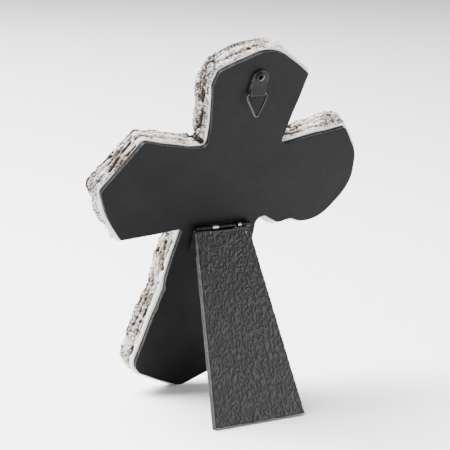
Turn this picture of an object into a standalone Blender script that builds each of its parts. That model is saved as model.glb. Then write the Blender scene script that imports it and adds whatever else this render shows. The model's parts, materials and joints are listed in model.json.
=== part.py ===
# Cross plaque in cast stone resin with a board back, a strap hanger and an easel leg.
# It stands on the tip of its shaft and on the leg, leaning back, front towards -Y.
import math
from collections import namedtuple

import bmesh
import bpy
import numpy as np
from mathutils import Matrix, Vector, geometry, noise

MM = 0.001
GAP = 0.3 * MM                      # kept between touching pieces
CLEAR = 5 * MM                      # how far a cutter runs past what it cuts
WIDE = 60 * MM                      # and a broad one

# How it stands
LEAN = math.radians(25.0)           # the plaque leans back from upright
LEG_OPEN = math.radians(45.7)       # between the leg and the board, on its stop
# Where the outline's zero point is, from the middle of the whole part at the ground.
# The stone's lip reaches further down, and is worn to a small flat there.
STAND_AT = (-0.47 * MM, -36.15 * MM, 1.6 * MM)

# Outline of the backing board seen from behind: right, up, corner radius (mm).
# It runs anticlockwise from the tip of the shaft.
OUTLINE = [
    (1.5, -1.3, 8.0), (28.8, 10.3, 10.0),                       # tip, foot of the shaft
    (20.9, 106.0, 4.0),                                         # lower right armpit
    (35.5, 97.8, 6.0), (42.6, 99.7, 4.0), (48.5, 97.3, 12.0),   # lump under the arm
    (60.8, 97.6, 18.0), (75.1, 116.8, 28.0),                    # round end of the arm
    (72.4, 136.8, 20.0), (60.6, 152.3, 2.0),
    (23.0, 145.0, 2.8),                                         # upper right armpit
    (28.4, 185.4, 1.5), (9.8, 197.8, 24.0), (-1.5, 199.4, 20.0),     # head
    (-23.8, 189.3, 2.0), (-25.6, 181.3, 3.0), (-20.9, 161.5, 25.0),
    (-19.4, 147.1, 3.0), (-30.0, 147.5, 25.0),                  # upper left armpit
    (-56.3, 153.4, 2.5), (-73.7, 126.7, 3.0),                   # left arm
    (-68.0, 113.5, 40.0), (-56.4, 97.4, 2.0),
    (-22.0, 100.3, 1.5),                                        # lower left armpit
    (-23.9, 71.0, 8.0), (-22.9, 62.5, 6.0), (-25.4, 48.5, 12.0),
    (-29.9, 13.5, 10.0),
]
SIDE_STEP = 5.0                     # longest straight stretch between two points (mm)
ARC_STEP = math.radians(28)         # largest turn between two points
HAND_CUT = 0.22                     # waviness of the cut edge (mm)
HAND_CUT_SIZE = 13.0
ROOM_USED = 0.8                     # share of the free room at an inner corner that a ring may use

BOARD_THICK = 2.4 * MM

# Cast body, all in mm. Its wall is layers of rock between a smooth lip at the back, which
# shows round the board, and the plain field in front.
# Each layer has its depth from the body's back, how far that wanders and on which seam,
# how far it stands out past the board, how rough that is, and its share of the lumps.
Layer = namedtuple("Layer", "depth wander seam reach rough lumps")
LAYERS = [
    Layer(0.0, 0.0, 0, 1.7, 0.3, 0.0),      # back edge of the lip
    Layer(0.4, 0.0, 0, 2.0, 0.3, 0.0),
    Layer(2.1, 0.5, 1, 2.3, 0.3, 0.2),
    Layer(2.6, 0.5, 1, 0.9, 0.9, 0.2),      # first groove
    Layer(3.1, 0.5, 1, 2.5, 0.5, 0.4),
    Layer(4.8, 0.9, 2, 2.7, 0.6, 0.6),
    Layer(5.3, 0.9, 2, 1.2, 1.0, 0.6),      # second groove
    Layer(5.8, 0.9, 2, 2.8, 0.6, 0.8),
    Layer(7.6, 0.6, 3, 2.9, 0.5, 1.0),      # front arris
    Layer(8.8, 0.5, 4, 1.6, 0.5, 0.8),      # chipped rim
    Layer(9.8, 0.2, 5, -2.3, 1.2, 0.0),     # edge of the field
]
LIP_ASIDE = (0.6, -0.8)             # the body's back is cast a little off the board: right, up (mm)
FRONT_ASIDE = (-1.5, -0.2)          # and its front leans the other way
SEAM_SIZE = 18.0                    # length of the waves in a layer's depth
ROUGH_SIZE = 10.0                   # and in its reach
FIELD_RISE = 0.35                   # how far the middle of the field stands in front of its edge
FIELD_GRID = 9.0
# Lumps on the layers: right, up, radius, height (mm)
LUMPS = [
    (51.0, 152.0, 11.0, 3.6), (62.0, 151.0, 5.0, -0.8), (22.0, 191.0, 12.0, -2.4),
    (12.0, 197.0, 8.0, 0.8), (0.0, 199.0, 8.0, -1.0), (-12.0, 195.0, 8.0, 1.2),
    (-25.0, 188.0, 6.0, -1.2), (-23.0, 168.0, 14.0, 1.5), (-40.0, 150.0, 12.0, 0.4),
    (-60.0, 149.0, 9.0, -1.0), (-71.0, 116.0, 12.0, -1.4), (-60.0, 101.0, 8.0, -3.0),
    (-26.0, 40.0, 30.0, 1.5), (-23.0, 66.0, 8.0, -0.8), (-29.0, 12.0, 8.0, -2.2),
]

# Easel hinge
HINGE_UP = 101.0 * MM               # up the board from the tip
HINGE_OUT = 2.1 * MM                # axis behind the board
HINGE_HALF = 15.85 * MM
KNUCKLE_RADIUS = 1.35 * MM
KNUCKLE_BORE = 0.8 * MM
PIN_RADIUS = 0.5 * MM
PIN_HEAD = (0.95 * MM, 0.5 * MM)    # radius and length
LEAF_THICK = 0.5 * MM
LEAF_LENGTH = 13.0 * MM
LEAF_INSET = 0.4 * MM               # the leaf's ends, in from the ends of its barrel
LEAF_SLOT = 2.2 * MM                # slot that the middle knuckle turns in
WEB_DEPTH = 1.2 * MM                # webs that carry the outer knuckles, down from the axis
WEB_SHORT = 0.5 * MM                # and short of it
PLATE_SHORT = 1.0 * MM              # the leg's plate is this much shorter at each end
PLATE_TOP = 1.75 * MM               # and starts this far below the axis
LEAF_SUNK = 0.05 * MM
PIN_STEPS = 16
OUTER_KNUCKLES = [(-15.85 * MM, -6.85 * MM), (8.7 * MM, 15.85 * MM)]    # right of centre, from behind
MIDDLE_KNUCKLE = (-6.5 * MM, 6.5 * MM)
HEEL_LENGTH = 2.1 * MM              # the leg leaf's heel, which meets the board when the leg is open
HEEL_THICK = 0.8 * MM
HEEL_HALF = 5.0 * MM

# Easel leg
LEG_THICK = 3.5 * MM
LEG_INNER = -1.0 * MM               # inner face, from the hinge axis
LEG_TOP = 2.2 * MM                  # top edge, below the hinge axis
LEG_TOP_HALF = 15.4 * MM
LEG_FOOT_HALF = 26.3 * MM
LEG_ASIDE = 1.4 * MM                # the leg is fixed this far towards +X of its hinge
LEG_EDGE = 0.25 * MM                # rounding of its edges

# Hanger
HANGER_ASIDE = 0.7 * MM             # the hanger is riveted this far towards +X of the middle
STRAP_WIDTH = 8.7 * MM
STRAP_TOP = 189.6 * MM
STRAP_STEPS = 12
STRAP_THICK = 1.2 * MM              # two layers of folded strip
BAR_UP = 177.2 * MM                 # the ring's top bar, up the board
BAR_OUT = 1.9 * MM                  # and behind it
LOOP_RADIUS = 1.55 * MM
LOOP_BORE = 0.85 * MM
LOOP_HALF = 4.15 * MM               # the fold is a little narrower than the strap
EYELET_UP = 186.4 * MM
EYELET_ASIDE = 0.6 * MM             # and its eyelet a little more, from the strap's middle
EYELET_FLANGE = 2.3 * MM
EYELET_BARREL = 1.6 * MM
EYELET_BORE = 1.2 * MM
EYELET_LENGTH = 3.4 * MM
EYELET_RIM = 0.55 * MM
RING_HALF = 5.6 * MM                # half the ring's top bar, between wire centres
RING_DROP = 11.9 * MM               # from the top bar to the tip
RING_WIRE = 0.5 * MM                # wire radius
RING_SHOULDER = (5.4 * MM, 2.3 * MM)    # its sides drop this far before they turn in to the tip
RING_TIP_ASIDE = 0.55 * MM          # the tip is bent this far towards +X
RING_BENDS = (0.75 * MM, 3.0 * MM, 1.0 * MM)    # bend radius at the bar, the shoulders and the tip
RING_ASIDE = 0.25 * MM              # the ring has slid this far towards +X
BEND_STEPS = 4

ROUND_STEPS = 24


def clear_scene():
    for item in list(bpy.data.objects):
        bpy.data.objects.remove(item, do_unlink=True)


def collection(name):
    made = bpy.data.collections.new(name)
    bpy.context.scene.collection.children.link(made)
    return made


def material(name, colour, roughness, metallic=0.0):
    made = bpy.data.materials.new(name)
    made.use_nodes = True
    shader = made.node_tree.nodes["Principled BSDF"]
    shader.inputs["Base Color"].default_value = (*colour, 1.0)
    shader.inputs["Roughness"].default_value = roughness
    shader.inputs["Metallic"].default_value = metallic
    made.diffuse_color = (*colour, 1.0)
    return made


def place(item, home, parent=None):
    for old in list(item.users_collection):
        old.objects.unlink(item)
    home.objects.link(item)
    item.parent = parent
    return item


def object_from(bm, name, home, parent=None):
    mesh = bpy.data.meshes.new(name)
    bm.to_mesh(mesh)
    bm.free()
    return place(bpy.data.objects.new(name, mesh), home, parent)


def box(name, low, high, home, parent=None):
    bm = bmesh.new()
    size = [b - a for a, b in zip(low, high)]
    middle = Vector([(a + b) / 2 for a, b in zip(low, high)])
    bmesh.ops.create_cube(bm, size=1.0, matrix=Matrix.Translation(middle) @ Matrix.Diagonal((*size, 1.0)))
    return object_from(bm, name, home, parent)


def rod(name, radius, start, end, home, parent=None, steps=ROUND_STEPS):
    # a cylinder between two points
    start, end = Vector(start), Vector(end)
    along = end - start
    turn = along.to_track_quat("Z", "Y").to_matrix().to_4x4()
    bm = bmesh.new()
    bmesh.ops.create_cone(bm, cap_ends=True, segments=steps, radius1=radius, radius2=radius,
                          depth=along.length, matrix=Matrix.Translation((start + end) / 2) @ turn)
    return object_from(bm, name, home, parent)


def mesh_from_curve(curve_object, home, parent=None):
    # the curve's evaluated shape as one closed mesh
    bpy.context.view_layer.update()
    graph = bpy.context.evaluated_depsgraph_get()
    mesh = bpy.data.meshes.new_from_object(curve_object.evaluated_get(graph))
    bm = bmesh.new()
    bm.from_mesh(mesh)
    bmesh.ops.remove_doubles(bm, verts=bm.verts, dist=0.01 * MM)
    bmesh.ops.recalc_face_normals(bm, faces=bm.faces)
    bm.to_mesh(mesh)
    bm.free()
    name = curve_object.name
    bpy.data.objects.remove(curve_object, do_unlink=True)
    return place(bpy.data.objects.new(name, mesh), home, parent)


def flat_shape(name, points, thick, home, parent=None):
    # a closed outline in the X-Z plane, thick along Y about zero
    curve = bpy.data.curves.new(name, "CURVE")
    curve.dimensions = "2D"
    curve.fill_mode = "BOTH"
    curve.extrude = thick / 2
    line = curve.splines.new("POLY")
    line.points.add(len(points) - 1)
    for point, (across, up) in zip(line.points, points):
        point.co = (across, up, 0.0, 1.0)
    line.use_cyclic_u = True
    made = mesh_from_curve(place(bpy.data.objects.new(name, curve), home), home, parent)
    made.data.transform(Matrix.Rotation(math.pi / 2, 4, "X"))
    return made


def combine(target, cutter, operation):
    step = target.modifiers.new(cutter.name, "BOOLEAN")
    step.object = cutter
    step.operation = operation
    step.solver = "EXACT"


def hide_cutter(item):
    item.hide_render = True
    item.display_type = "WIRE"
    return item


def rounded_outline():
    # points along the outline with its corners rounded, and the outward normal at each
    corners = [Vector(c[:2]) for c in OUTLINE]
    count = len(corners)
    sides = [(corners[(i + 1) % count] - corners[i]).normalized() for i in range(count)]
    arcs = []
    for i, (corner, (_, _, radius)) in enumerate(zip(corners, OUTLINE)):
        before, after = sides[i - 1], sides[i]
        turn = math.atan2(before.cross(after), before.dot(after))
        hand = math.copysign(1.0, turn)
        start = corner - before * radius * math.tan(abs(turn) / 2)
        centre = start + Vector((-before.y, before.x)) * radius * hand
        steps = max(math.ceil(abs(turn) / ARC_STEP), math.ceil(abs(turn) * radius / SIDE_STEP))
        arc = []
        for k in range(steps + 1):
            normal = Matrix.Rotation(turn * k / steps, 2) @ Vector((before.y, -before.x))
            arc.append((centre + normal * radius * hand, normal))
        arcs.append(arc)
    points = []
    for i in range(count):
        (start, normal), (end, _) = arcs[i][-1], arcs[(i + 1) % count][0]
        pieces = max(1, round((end - start).length / SIDE_STEP))
        points += arcs[i]
        points += [(start.lerp(end, k / pieces), normal) for k in range(1, pieces)]
    return points


def room(points, sign):
    # how far each point may move out (sign 1) or in (-1) before it meets another part of the outline
    places = np.array([(p.x, p.y) for p, _ in points])
    normals = sign * np.array([(n.x, n.y) for _, n in points])
    across = places[None, :, :] - places[:, None, :]
    along = (across * normals[:, None, :]).sum(2)
    radius = (across ** 2).sum(2) / (2.0 * np.where(along > 1e-6, along, np.nan))
    return ROOM_USED * np.where(np.isnan(radius), 1e3, radius).min(axis=1)


def hand_cut(point):
    # slow waves that the knife left in the edge
    return 2.0 * HAND_CUT * noise.noise(Vector((point.x, point.y, 0.0)) / HAND_CUT_SIZE)


def edge_ring(reach_of, aside=(0.0, 0.0)):
    # points round the outline, each moved out by reach_of(point) in mm, and the whole ring aside
    points = rounded_outline()
    ring = []
    for (here, normal), outside, inside in zip(points, room(points, 1), room(points, -1)):
        reach = reach_of(here) + hand_cut(here) + normal.dot(Vector(aside))
        ring.append(here + normal * min(max(reach, -inside), outside))
    return ring


def swell(here, seed, size):
    # slow rise and fall, about -1 to 1, along the wall
    return 2.0 * noise.noise(Vector((here.x / size, here.y / size, 7.3 * seed)))


def lumps(here):
    total = 0.0
    for right, up, radius, height in LUMPS:
        away = (here - Vector((right, up))).length / radius
        total += height * math.exp(-1.5 * away * away)
    return total


def layer_reach(here, number):
    layer = LAYERS[number]
    rough = layer.rough * swell(here, 20 + number, ROUGH_SIZE)
    return layer.reach + rough + layer.lumps * lumps(here)


def layer_depth(here, layer):
    return layer.depth + layer.wander * swell(here, layer.seam, SEAM_SIZE)


def field_points(ring):
    # a staggered grid inside the field, clear of its edge
    edge = np.array([(p.x, p.y) for p in ring])
    ahead = np.roll(edge, -1, axis=0)
    found = []
    low, high = edge.min(axis=0), edge.max(axis=0)
    for row, up in enumerate(np.arange(low[1], high[1], FIELD_GRID * 0.866)):
        for right in np.arange(low[0] + (row % 2) * FIELD_GRID / 2, high[0], FIELD_GRID):
            here = np.array((right, up))
            along = ahead - edge
            share = np.clip(((here - edge) * along).sum(1) / (along * along).sum(1), 0.0, 1.0)
            away = np.linalg.norm(edge + along * share[:, None] - here, axis=1).min()
            crossed = ((edge[:, 1] > up) != (ahead[:, 1] > up)) & (
                right < edge[:, 0] + (up - edge[:, 1]) * along[:, 0] / (along[:, 1] + 1e-12))
            if crossed.sum() % 2 == 1 and away > FIELD_GRID * 0.6:
                found.append(Vector((right, up)))
    return found


def stone_point(flat, depth):
    return Vector((-flat.x, 0.0, flat.y)) * MM - Vector((0.0, BOARD_THICK + GAP + depth * MM, 0.0))


def fill_ring(bm, ring, flat, inside=(), depth_of=None):
    # triangles over a ring of vertices, whose flat places are given, and over points inside it
    count = len(ring)
    border = [(k, (k + 1) % count) for k in range(count)]
    whole = 1
    places, _, faces, _, _, _ = geometry.delaunay_2d_cdt(
        list(flat) + list(inside), border, [range(count)], whole, 1e-6)
    made = list(ring)
    for place_at in places[count:]:
        made.append(bm.verts.new(stone_point(place_at, depth_of(place_at))))
    for face in faces:
        bm.faces.new([made[k] for k in face])


def field_depth(here):
    return LAYERS[-1].depth + FIELD_RISE * (1.0 + swell(here, 40, 3 * FIELD_GRID))


def build_stone_cross(home, tools, parent):
    bm = bmesh.new()
    rings = []
    flats = []
    base = [here for here, _ in rounded_outline()]
    for number, layer in enumerate(LAYERS):
        aside = Vector(LIP_ASIDE).lerp(Vector(FRONT_ASIDE), layer.depth / LAYERS[-1].depth)
        flat = edge_ring(lambda here: layer_reach(here, number), aside)
        points = [stone_point(out, layer_depth(here, layer)) for out, here in zip(flat, base)]
        rings.append([bm.verts.new(point) for point in points])
        flats.append(flat)
    for near, far in zip(rings, rings[1:]):
        for k in range(len(near)):
            bm.faces.new((near[k - 1], near[k], far[k], far[k - 1]))
    fill_ring(bm, rings[0], flats[0])
    fill_ring(bm, rings[-1], flats[-1], field_points(flats[-1]), field_depth)
    bmesh.ops.triangulate(bm, faces=bm.faces)
    bmesh.ops.recalc_face_normals(bm, faces=bm.faces)
    body = object_from(bm, "stone_cross", home, parent)
    ground = box("ground_cut", (-WIDE, -WIDE, -WIDE), (WIDE, WIDE, 0.0), tools)
    combine(body, hide_cutter(ground), "DIFFERENCE")
    body.data.materials.append(material("cast_stone", (0.80, 0.77, 0.72), 0.85))
    return body


def build_backing_board(home, tools, parent):
    outline = [(-p.x * MM, p.y * MM) for p in edge_ring(lambda p: 0.0)]
    board = flat_shape("backing_board", outline, BOARD_THICK, home, parent)
    board.data.transform(Matrix.Translation((0.0, -BOARD_THICK / 2, 0.0)))
    across = HANGER_ASIDE + EYELET_ASIDE
    pocket = rod("eyelet_pocket", EYELET_BARREL + GAP, (across, GAP - BOARD_THICK, EYELET_UP),
                 (across, CLEAR, EYELET_UP), tools, parent)
    combine(board, hide_cutter(pocket), "DIFFERENCE")
    board.data.materials.append(material("backing_black", (0.042, 0.042, 0.046), 0.75))
    return board


def build_hanger_strap(home, tools, hanger):
    # a strip folded over the ring's bar, its two layers flat on the board, round at the top
    half = STRAP_WIDTH / 2
    turn = [math.pi * k / STRAP_STEPS for k in range(STRAP_STEPS + 1)]
    outline = [(half, BAR_UP)]
    outline += [(half * math.cos(a), STRAP_TOP - half + half * math.sin(a)) for a in turn]
    outline.append((-half, BAR_UP))
    strap = flat_shape("hanger_strap", outline, STRAP_THICK, home, hanger)
    strap.data.transform(Matrix.Translation((0.0, GAP + STRAP_THICK / 2, 0.0)))
    ends = [(side * LOOP_HALF, BAR_OUT, BAR_UP) for side in (-1, 1)]
    combine(strap, hide_cutter(rod("strap_loop", LOOP_RADIUS, *ends, tools, hanger)), "UNION")
    beyond = [(side * STRAP_WIDTH, BAR_OUT, BAR_UP) for side in (-1, 1)]
    combine(strap, hide_cutter(rod("strap_bore", LOOP_BORE, *beyond, tools, hanger)), "DIFFERENCE")
    through = [(EYELET_ASIDE, side * CLEAR, EYELET_UP) for side in (-1, 1)]
    hole = rod("strap_hole", EYELET_BARREL + GAP, *through, tools, hanger)
    combine(strap, hide_cutter(hole), "DIFFERENCE")
    strap.data.materials.append(material("strap_black", (0.05, 0.05, 0.055), 0.45, 0.6))
    return strap


def build_hanger_rivet(home, hanger):
    # a hollow eyelet: a turned barrel with a rolled flange
    face = GAP + STRAP_THICK + GAP
    inner, outer, lip = EYELET_BORE, EYELET_FLANGE, EYELET_RIM
    profile = [
        (inner, face - EYELET_LENGTH), (inner, face + 0.5 * lip), (0.7 * inner + 0.3 * outer, face + lip),
        (0.25 * inner + 0.75 * outer, face + 0.85 * lip), (outer, face + 0.4 * lip), (outer, face),
        (EYELET_BARREL, face), (EYELET_BARREL, face - EYELET_LENGTH),
    ]
    bm = bmesh.new()
    verts = [bm.verts.new((radius, 0.0, along)) for radius, along in profile]
    for k in range(len(verts)):
        bm.edges.new((verts[k - 1], verts[k]))
    rivet = object_from(bm, "hanger_rivet", home, hanger)
    rivet.location = (EYELET_ASIDE, 0.0, EYELET_UP)
    rivet.rotation_euler = (-math.pi / 2, 0.0, 0.0)
    turn = rivet.modifiers.new("turn", "SCREW")
    turn.steps = ROUND_STEPS
    turn.render_steps = ROUND_STEPS
    turn.use_merge_vertices = True
    turn.merge_threshold = 0.00001
    rivet.data.materials.append(material("eyelet_metal", (0.10, 0.10, 0.11), 0.3, 0.9))
    return rivet


def build_hanging_ring(home, parent):
    # a triangle of wire, hung by its top bar, which is at the object's own origin
    shoulder, drop = RING_SHOULDER
    bar_bend, shoulder_bend, tip_bend = RING_BENDS
    corners = [
        (-RING_HALF, 0.0, bar_bend), (RING_HALF, 0.0, bar_bend), (shoulder, -drop, shoulder_bend),
        (RING_TIP_ASIDE, -RING_DROP, tip_bend), (-shoulder, -drop, shoulder_bend),
    ]
    places = [Vector((across + RING_ASIDE, 0.0, up)) for across, up, _ in corners]
    route = []
    for k, (corner, (_, _, bend)) in enumerate(zip(places, corners)):
        before = (places[k - 1] - corner).normalized()
        after = (places[(k + 1) % len(places)] - corner).normalized()
        half = before.angle(after) / 2
        centre = corner + (before + after).normalized() * bend / math.sin(half)
        start = (corner + before * bend / math.tan(half) - centre).normalized()
        end = (corner + after * bend / math.tan(half) - centre).normalized()
        for step in range(BEND_STEPS + 1):
            route.append(centre + start.slerp(end, step / BEND_STEPS) * bend)
    curve = bpy.data.curves.new("hanging_ring", "CURVE")
    curve.dimensions = "3D"
    curve.bevel_depth = RING_WIRE
    curve.bevel_resolution = 2
    line = curve.splines.new("POLY")
    line.points.add(len(route) - 1)
    for point, place_at in zip(line.points, route):
        point.co = (*place_at, 1.0)
    line.use_cyclic_u = True
    ring = mesh_from_curve(place(bpy.data.objects.new("hanging_ring", curve), home), home, parent)
    ring.data.materials.append(material("ring_wire", (0.06, 0.06, 0.065), 0.35, 0.8))
    return ring


def build_board_leaf(home, tools, parent):
    # a plate on the board under the leg, with the two outer knuckles
    low = HINGE_UP - LEAF_LENGTH
    half = HINGE_HALF - LEAF_INSET
    leaf = box("hinge_board_leaf", (-half, GAP, low), (half, GAP + LEAF_THICK, HINGE_UP), home, parent)
    slot = box("leaf_slot", (-OUTER_KNUCKLES[1][0] - LEAF_INSET, -CLEAR, HINGE_UP - LEAF_SLOT),
               (MIDDLE_KNUCKLE[1] + GAP, CLEAR, HINGE_UP + CLEAR), tools, parent)
    combine(leaf, hide_cutter(slot), "DIFFERENCE")
    for side, (left, right) in zip(("left", "right"), OUTER_KNUCKLES):
        web = box("web_" + side, (-right + LEAF_INSET / 2, GAP + LEAF_THICK / 2, HINGE_UP - WEB_DEPTH),
                  (-left - LEAF_INSET / 2, HINGE_OUT - WEB_SHORT, HINGE_UP - WEB_SHORT / 5), tools, parent)
        combine(leaf, hide_cutter(web), "UNION")
        knuckle = rod("knuckle_" + side, KNUCKLE_RADIUS, (-right, HINGE_OUT, HINGE_UP),
                      (-left, HINGE_OUT, HINGE_UP), tools, parent)
        combine(leaf, hide_cutter(knuckle), "UNION")
    bore = rod("board_bore", KNUCKLE_BORE, (-2 * HINGE_HALF, HINGE_OUT, HINGE_UP),
               (2 * HINGE_HALF, HINGE_OUT, HINGE_UP), tools, parent)
    combine(leaf, hide_cutter(bore), "DIFFERENCE")
    leaf.data.materials.append(material("hinge_black", (0.02, 0.02, 0.022), 0.25, 0.9))
    return leaf


def build_hinge_pin(home, tools, parent):
    reach = HINGE_HALF + GAP
    head, length = PIN_HEAD
    ends = [(side * (reach + length / 4), HINGE_OUT, HINGE_UP) for side in (-1, 1)]
    pin = rod("hinge_pin", PIN_RADIUS, *ends, home, parent, PIN_STEPS)
    for side in (-1, 1):
        ends = [(side * reach, HINGE_OUT, HINGE_UP), (side * (reach + length), HINGE_OUT, HINGE_UP)]
        combine(pin, hide_cutter(rod("pin_head", head, *ends, tools, parent)), "UNION")
    pin.data.materials.append(material("pin_metal", (0.25, 0.25, 0.26), 0.3, 1.0))
    return pin


def build_leg_leaf(home, tools, leg):
    # Plate let into the inner face of the leg, the middle knuckle, and the heel that stops it.
    # In the leg's frame Z runs up the leg to the hinge axis and Y out of its outer face.
    inner = LEG_INNER + LEAF_SUNK
    half = HINGE_HALF - PLATE_SHORT
    outer = inner + LEAF_THICK
    leaf = box("hinge_leg_leaf", (-half, inner, -LEAF_LENGTH), (half, outer, -PLATE_TOP), home, leg)
    left, right = MIDDLE_KNUCKLE
    tongue = box("leaf_tongue", (-right, inner, -2 * PLATE_TOP), (-left, outer, 0.0), tools, leg)
    combine(leaf, hide_cutter(tongue), "UNION")
    knuckle = rod("knuckle_middle", KNUCKLE_RADIUS, (-right, 0.0, 0.0), (-left, 0.0, 0.0), tools, leg)
    combine(leaf, hide_cutter(knuckle), "UNION")
    heel = box("leaf_heel", (-HEEL_HALF, -HEEL_THICK / 2, 0.0), (HEEL_HALF, HEEL_THICK / 2, HEEL_LENGTH),
               tools, leg)
    combine(leaf, hide_cutter(heel), "UNION")
    bore = rod("leg_bore", KNUCKLE_BORE, (-HINGE_HALF, 0.0, 0.0), (HINGE_HALF, 0.0, 0.0), tools, leg)
    combine(leaf, hide_cutter(bore), "DIFFERENCE")
    leaf.data.materials.append(material("leaf_black", (0.02, 0.02, 0.022), 0.3, 0.9))
    return leaf


def leg_length():
    # down the leg from the hinge axis to where the rounded edge of its foot meets the ground
    axis_height = STAND_AT[2] + HINGE_UP * math.cos(LEAN) - HINGE_OUT * math.sin(LEAN)
    slope = LEG_OPEN - LEAN
    worn = LEG_EDGE * (math.cos(slope) + math.sin(slope) - 1.0)
    return (axis_height + worn + LEG_INNER * math.sin(slope)) / math.cos(slope)


def build_easel_leg(home, tools, leg):
    foot = -leg_length()
    outline = [(-LEG_TOP_HALF, -LEG_TOP), (-LEG_FOOT_HALF, foot),
               (LEG_FOOT_HALF, foot), (LEG_TOP_HALF, -LEG_TOP)]
    board = flat_shape("easel_leg", outline, LEG_THICK, home, leg)
    board.data.transform(Matrix.Translation((LEG_ASIDE, LEG_INNER + LEG_THICK / 2, 0.0)))
    rounding = board.modifiers.new("edges", "BEVEL")
    rounding.width = LEG_EDGE
    rounding.segments = 2
    rounding.limit_method = "ANGLE"
    rebate = box("leaf_rebate", (-WIDE, LEG_INNER - CLEAR, -LEAF_LENGTH - GAP),
                 (WIDE, LEG_INNER + LEAF_SUNK + LEAF_THICK + GAP, CLEAR), tools, leg)
    combine(board, hide_cutter(rebate), "DIFFERENCE")
    board.data.materials.append(material("leatherette_grey", (0.075, 0.075, 0.08), 0.55))
    return board


def empty(name, home, parent, location, turn):
    made = place(bpy.data.objects.new(name, None), home, parent)
    made.empty_display_size = 0.01
    made.location = location
    made.rotation_euler = (turn, 0.0, 0.0)
    return made


def shade(item):
    item.data.shade_smooth()
    item.data.set_sharp_from_angle(angle=math.radians(35))


def main():
    clear_scene()
    home = collection("cross_plaque")
    tools = collection("cutters")
    plaque = empty("plaque_frame", home, None, STAND_AT, -LEAN)
    leg = empty("leg_axis", home, plaque, (0.0, HINGE_OUT, HINGE_UP), LEG_OPEN)
    hanger = empty("hanger_frame", home, plaque, (HANGER_ASIDE, 0.0, 0.0), 0.0)
    ring = empty("ring_axis", home, hanger, (0.0, BAR_OUT, BAR_UP), LEAN)
    build_stone_cross(home, tools, plaque)
    build_backing_board(home, tools, plaque)
    shade(build_hanger_strap(home, tools, hanger))
    shade(build_hanger_rivet(home, hanger))
    shade(build_hanging_ring(home, ring))
    shade(build_board_leaf(home, tools, plaque))
    shade(build_hinge_pin(home, tools, plaque))
    shade(build_leg_leaf(home, tools, leg))
    build_easel_leg(home, tools, leg)


main()
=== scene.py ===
# A cross plaque in cast stone resin, seen from behind as it stands on its easel leg.
import json
import math

import bmesh
import bpy
import numpy as np
from mathutils import Matrix, Vector, geometry, noise

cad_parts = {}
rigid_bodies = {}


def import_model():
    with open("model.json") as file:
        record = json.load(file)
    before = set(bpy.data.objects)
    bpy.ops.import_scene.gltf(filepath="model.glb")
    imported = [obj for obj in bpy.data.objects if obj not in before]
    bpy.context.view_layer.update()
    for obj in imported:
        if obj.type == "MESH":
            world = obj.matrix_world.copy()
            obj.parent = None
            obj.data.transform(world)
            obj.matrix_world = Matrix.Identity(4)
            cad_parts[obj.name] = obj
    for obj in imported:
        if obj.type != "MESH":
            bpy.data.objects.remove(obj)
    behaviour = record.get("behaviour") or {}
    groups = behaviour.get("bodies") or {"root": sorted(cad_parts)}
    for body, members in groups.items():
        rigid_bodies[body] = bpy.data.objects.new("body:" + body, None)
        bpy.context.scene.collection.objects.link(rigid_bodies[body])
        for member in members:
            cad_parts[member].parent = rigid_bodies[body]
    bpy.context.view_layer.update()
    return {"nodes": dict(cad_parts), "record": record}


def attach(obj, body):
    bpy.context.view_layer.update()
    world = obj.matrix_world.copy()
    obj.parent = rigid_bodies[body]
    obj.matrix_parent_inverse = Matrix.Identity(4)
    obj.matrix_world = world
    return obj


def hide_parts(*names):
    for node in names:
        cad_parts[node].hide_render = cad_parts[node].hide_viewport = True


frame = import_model()
mounts = frame["record"]["mounts"]
joints = frame["record"]["behaviour"]["joints"]
mm = 0.001


# Where things are: right and up are along the board as seen from behind, out is off its back
def named(items, name):
    return next(item for item in items if item["name"] == name)


def frameAt(origin, outward):
    # a matrix whose columns are across (+X), out of the surface, and up along it
    across = Vector((1.0, 0.0, 0.0))
    outward = Vector(outward)
    turn = Matrix((across, outward, across.cross(outward))).transposed()
    return Matrix.Translation(origin) @ turn.to_4x4()


backMountUp = 140.0 * mm             # how far up the board its mount is
backMount = named(mounts, "board_back")
hingePlace = Vector(named(joints, "easel_hinge")["pos_m"])
boardFrame = frameAt(backMount["pos_m"], backMount["axis"]) @ Matrix.Translation((0, 0, -backMountUp))
legFrame = frameAt(hingePlace, named(mounts, "leg_back")["axis"])
ringFrame = Matrix.Translation(named(joints, "ring_swing")["pos_m"])
hingeOnBoard = boardFrame.inverted() @ hingePlace


# Small tools for meshes
def addObject(name, data):
    made = bpy.data.objects.new(name, data)
    bpy.context.scene.collection.objects.link(made)
    return made


def addMesh(name, verts, faces, edges=()):
    mesh = bpy.data.meshes.new(name)
    mesh.from_pydata([tuple(v) for v in verts], edges, [tuple(f) for f in faces])
    return addObject(name, mesh)


def fromBmesh(bm, name):
    mesh = bpy.data.meshes.new(name)
    bm.to_mesh(mesh)
    bm.free()
    return addObject(name, mesh)


def settle(piece):
    # what the modifiers make becomes the piece's own mesh
    bpy.context.view_layer.update()
    graph = bpy.context.evaluated_depsgraph_get()
    mesh = bpy.data.meshes.new_from_object(piece.evaluated_get(graph))
    piece.modifiers.clear()
    old, piece.data = piece.data, mesh
    mesh.name = old.name
    bpy.data.meshes.remove(old)
    return piece


def placeAt(piece, matrix):
    # the place goes into the mesh, and the object stays at the origin
    piece.data.transform(matrix)
    piece.data.update()
    return piece


def turnOut(piece):
    # every face looks outward
    bm = bmesh.new()
    bm.from_mesh(piece.data)
    bmesh.ops.recalc_face_normals(bm, faces=bm.faces)
    bm.to_mesh(piece.data)
    bm.free()


def coat(piece, material):
    # one material all over
    piece.data.materials.clear()
    piece.data.materials.append(material)
    return piece


def softEdges(piece, degrees):
    piece.data.shade_smooth()
    piece.data.set_sharp_from_angle(angle=math.radians(degrees))
    return piece


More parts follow.
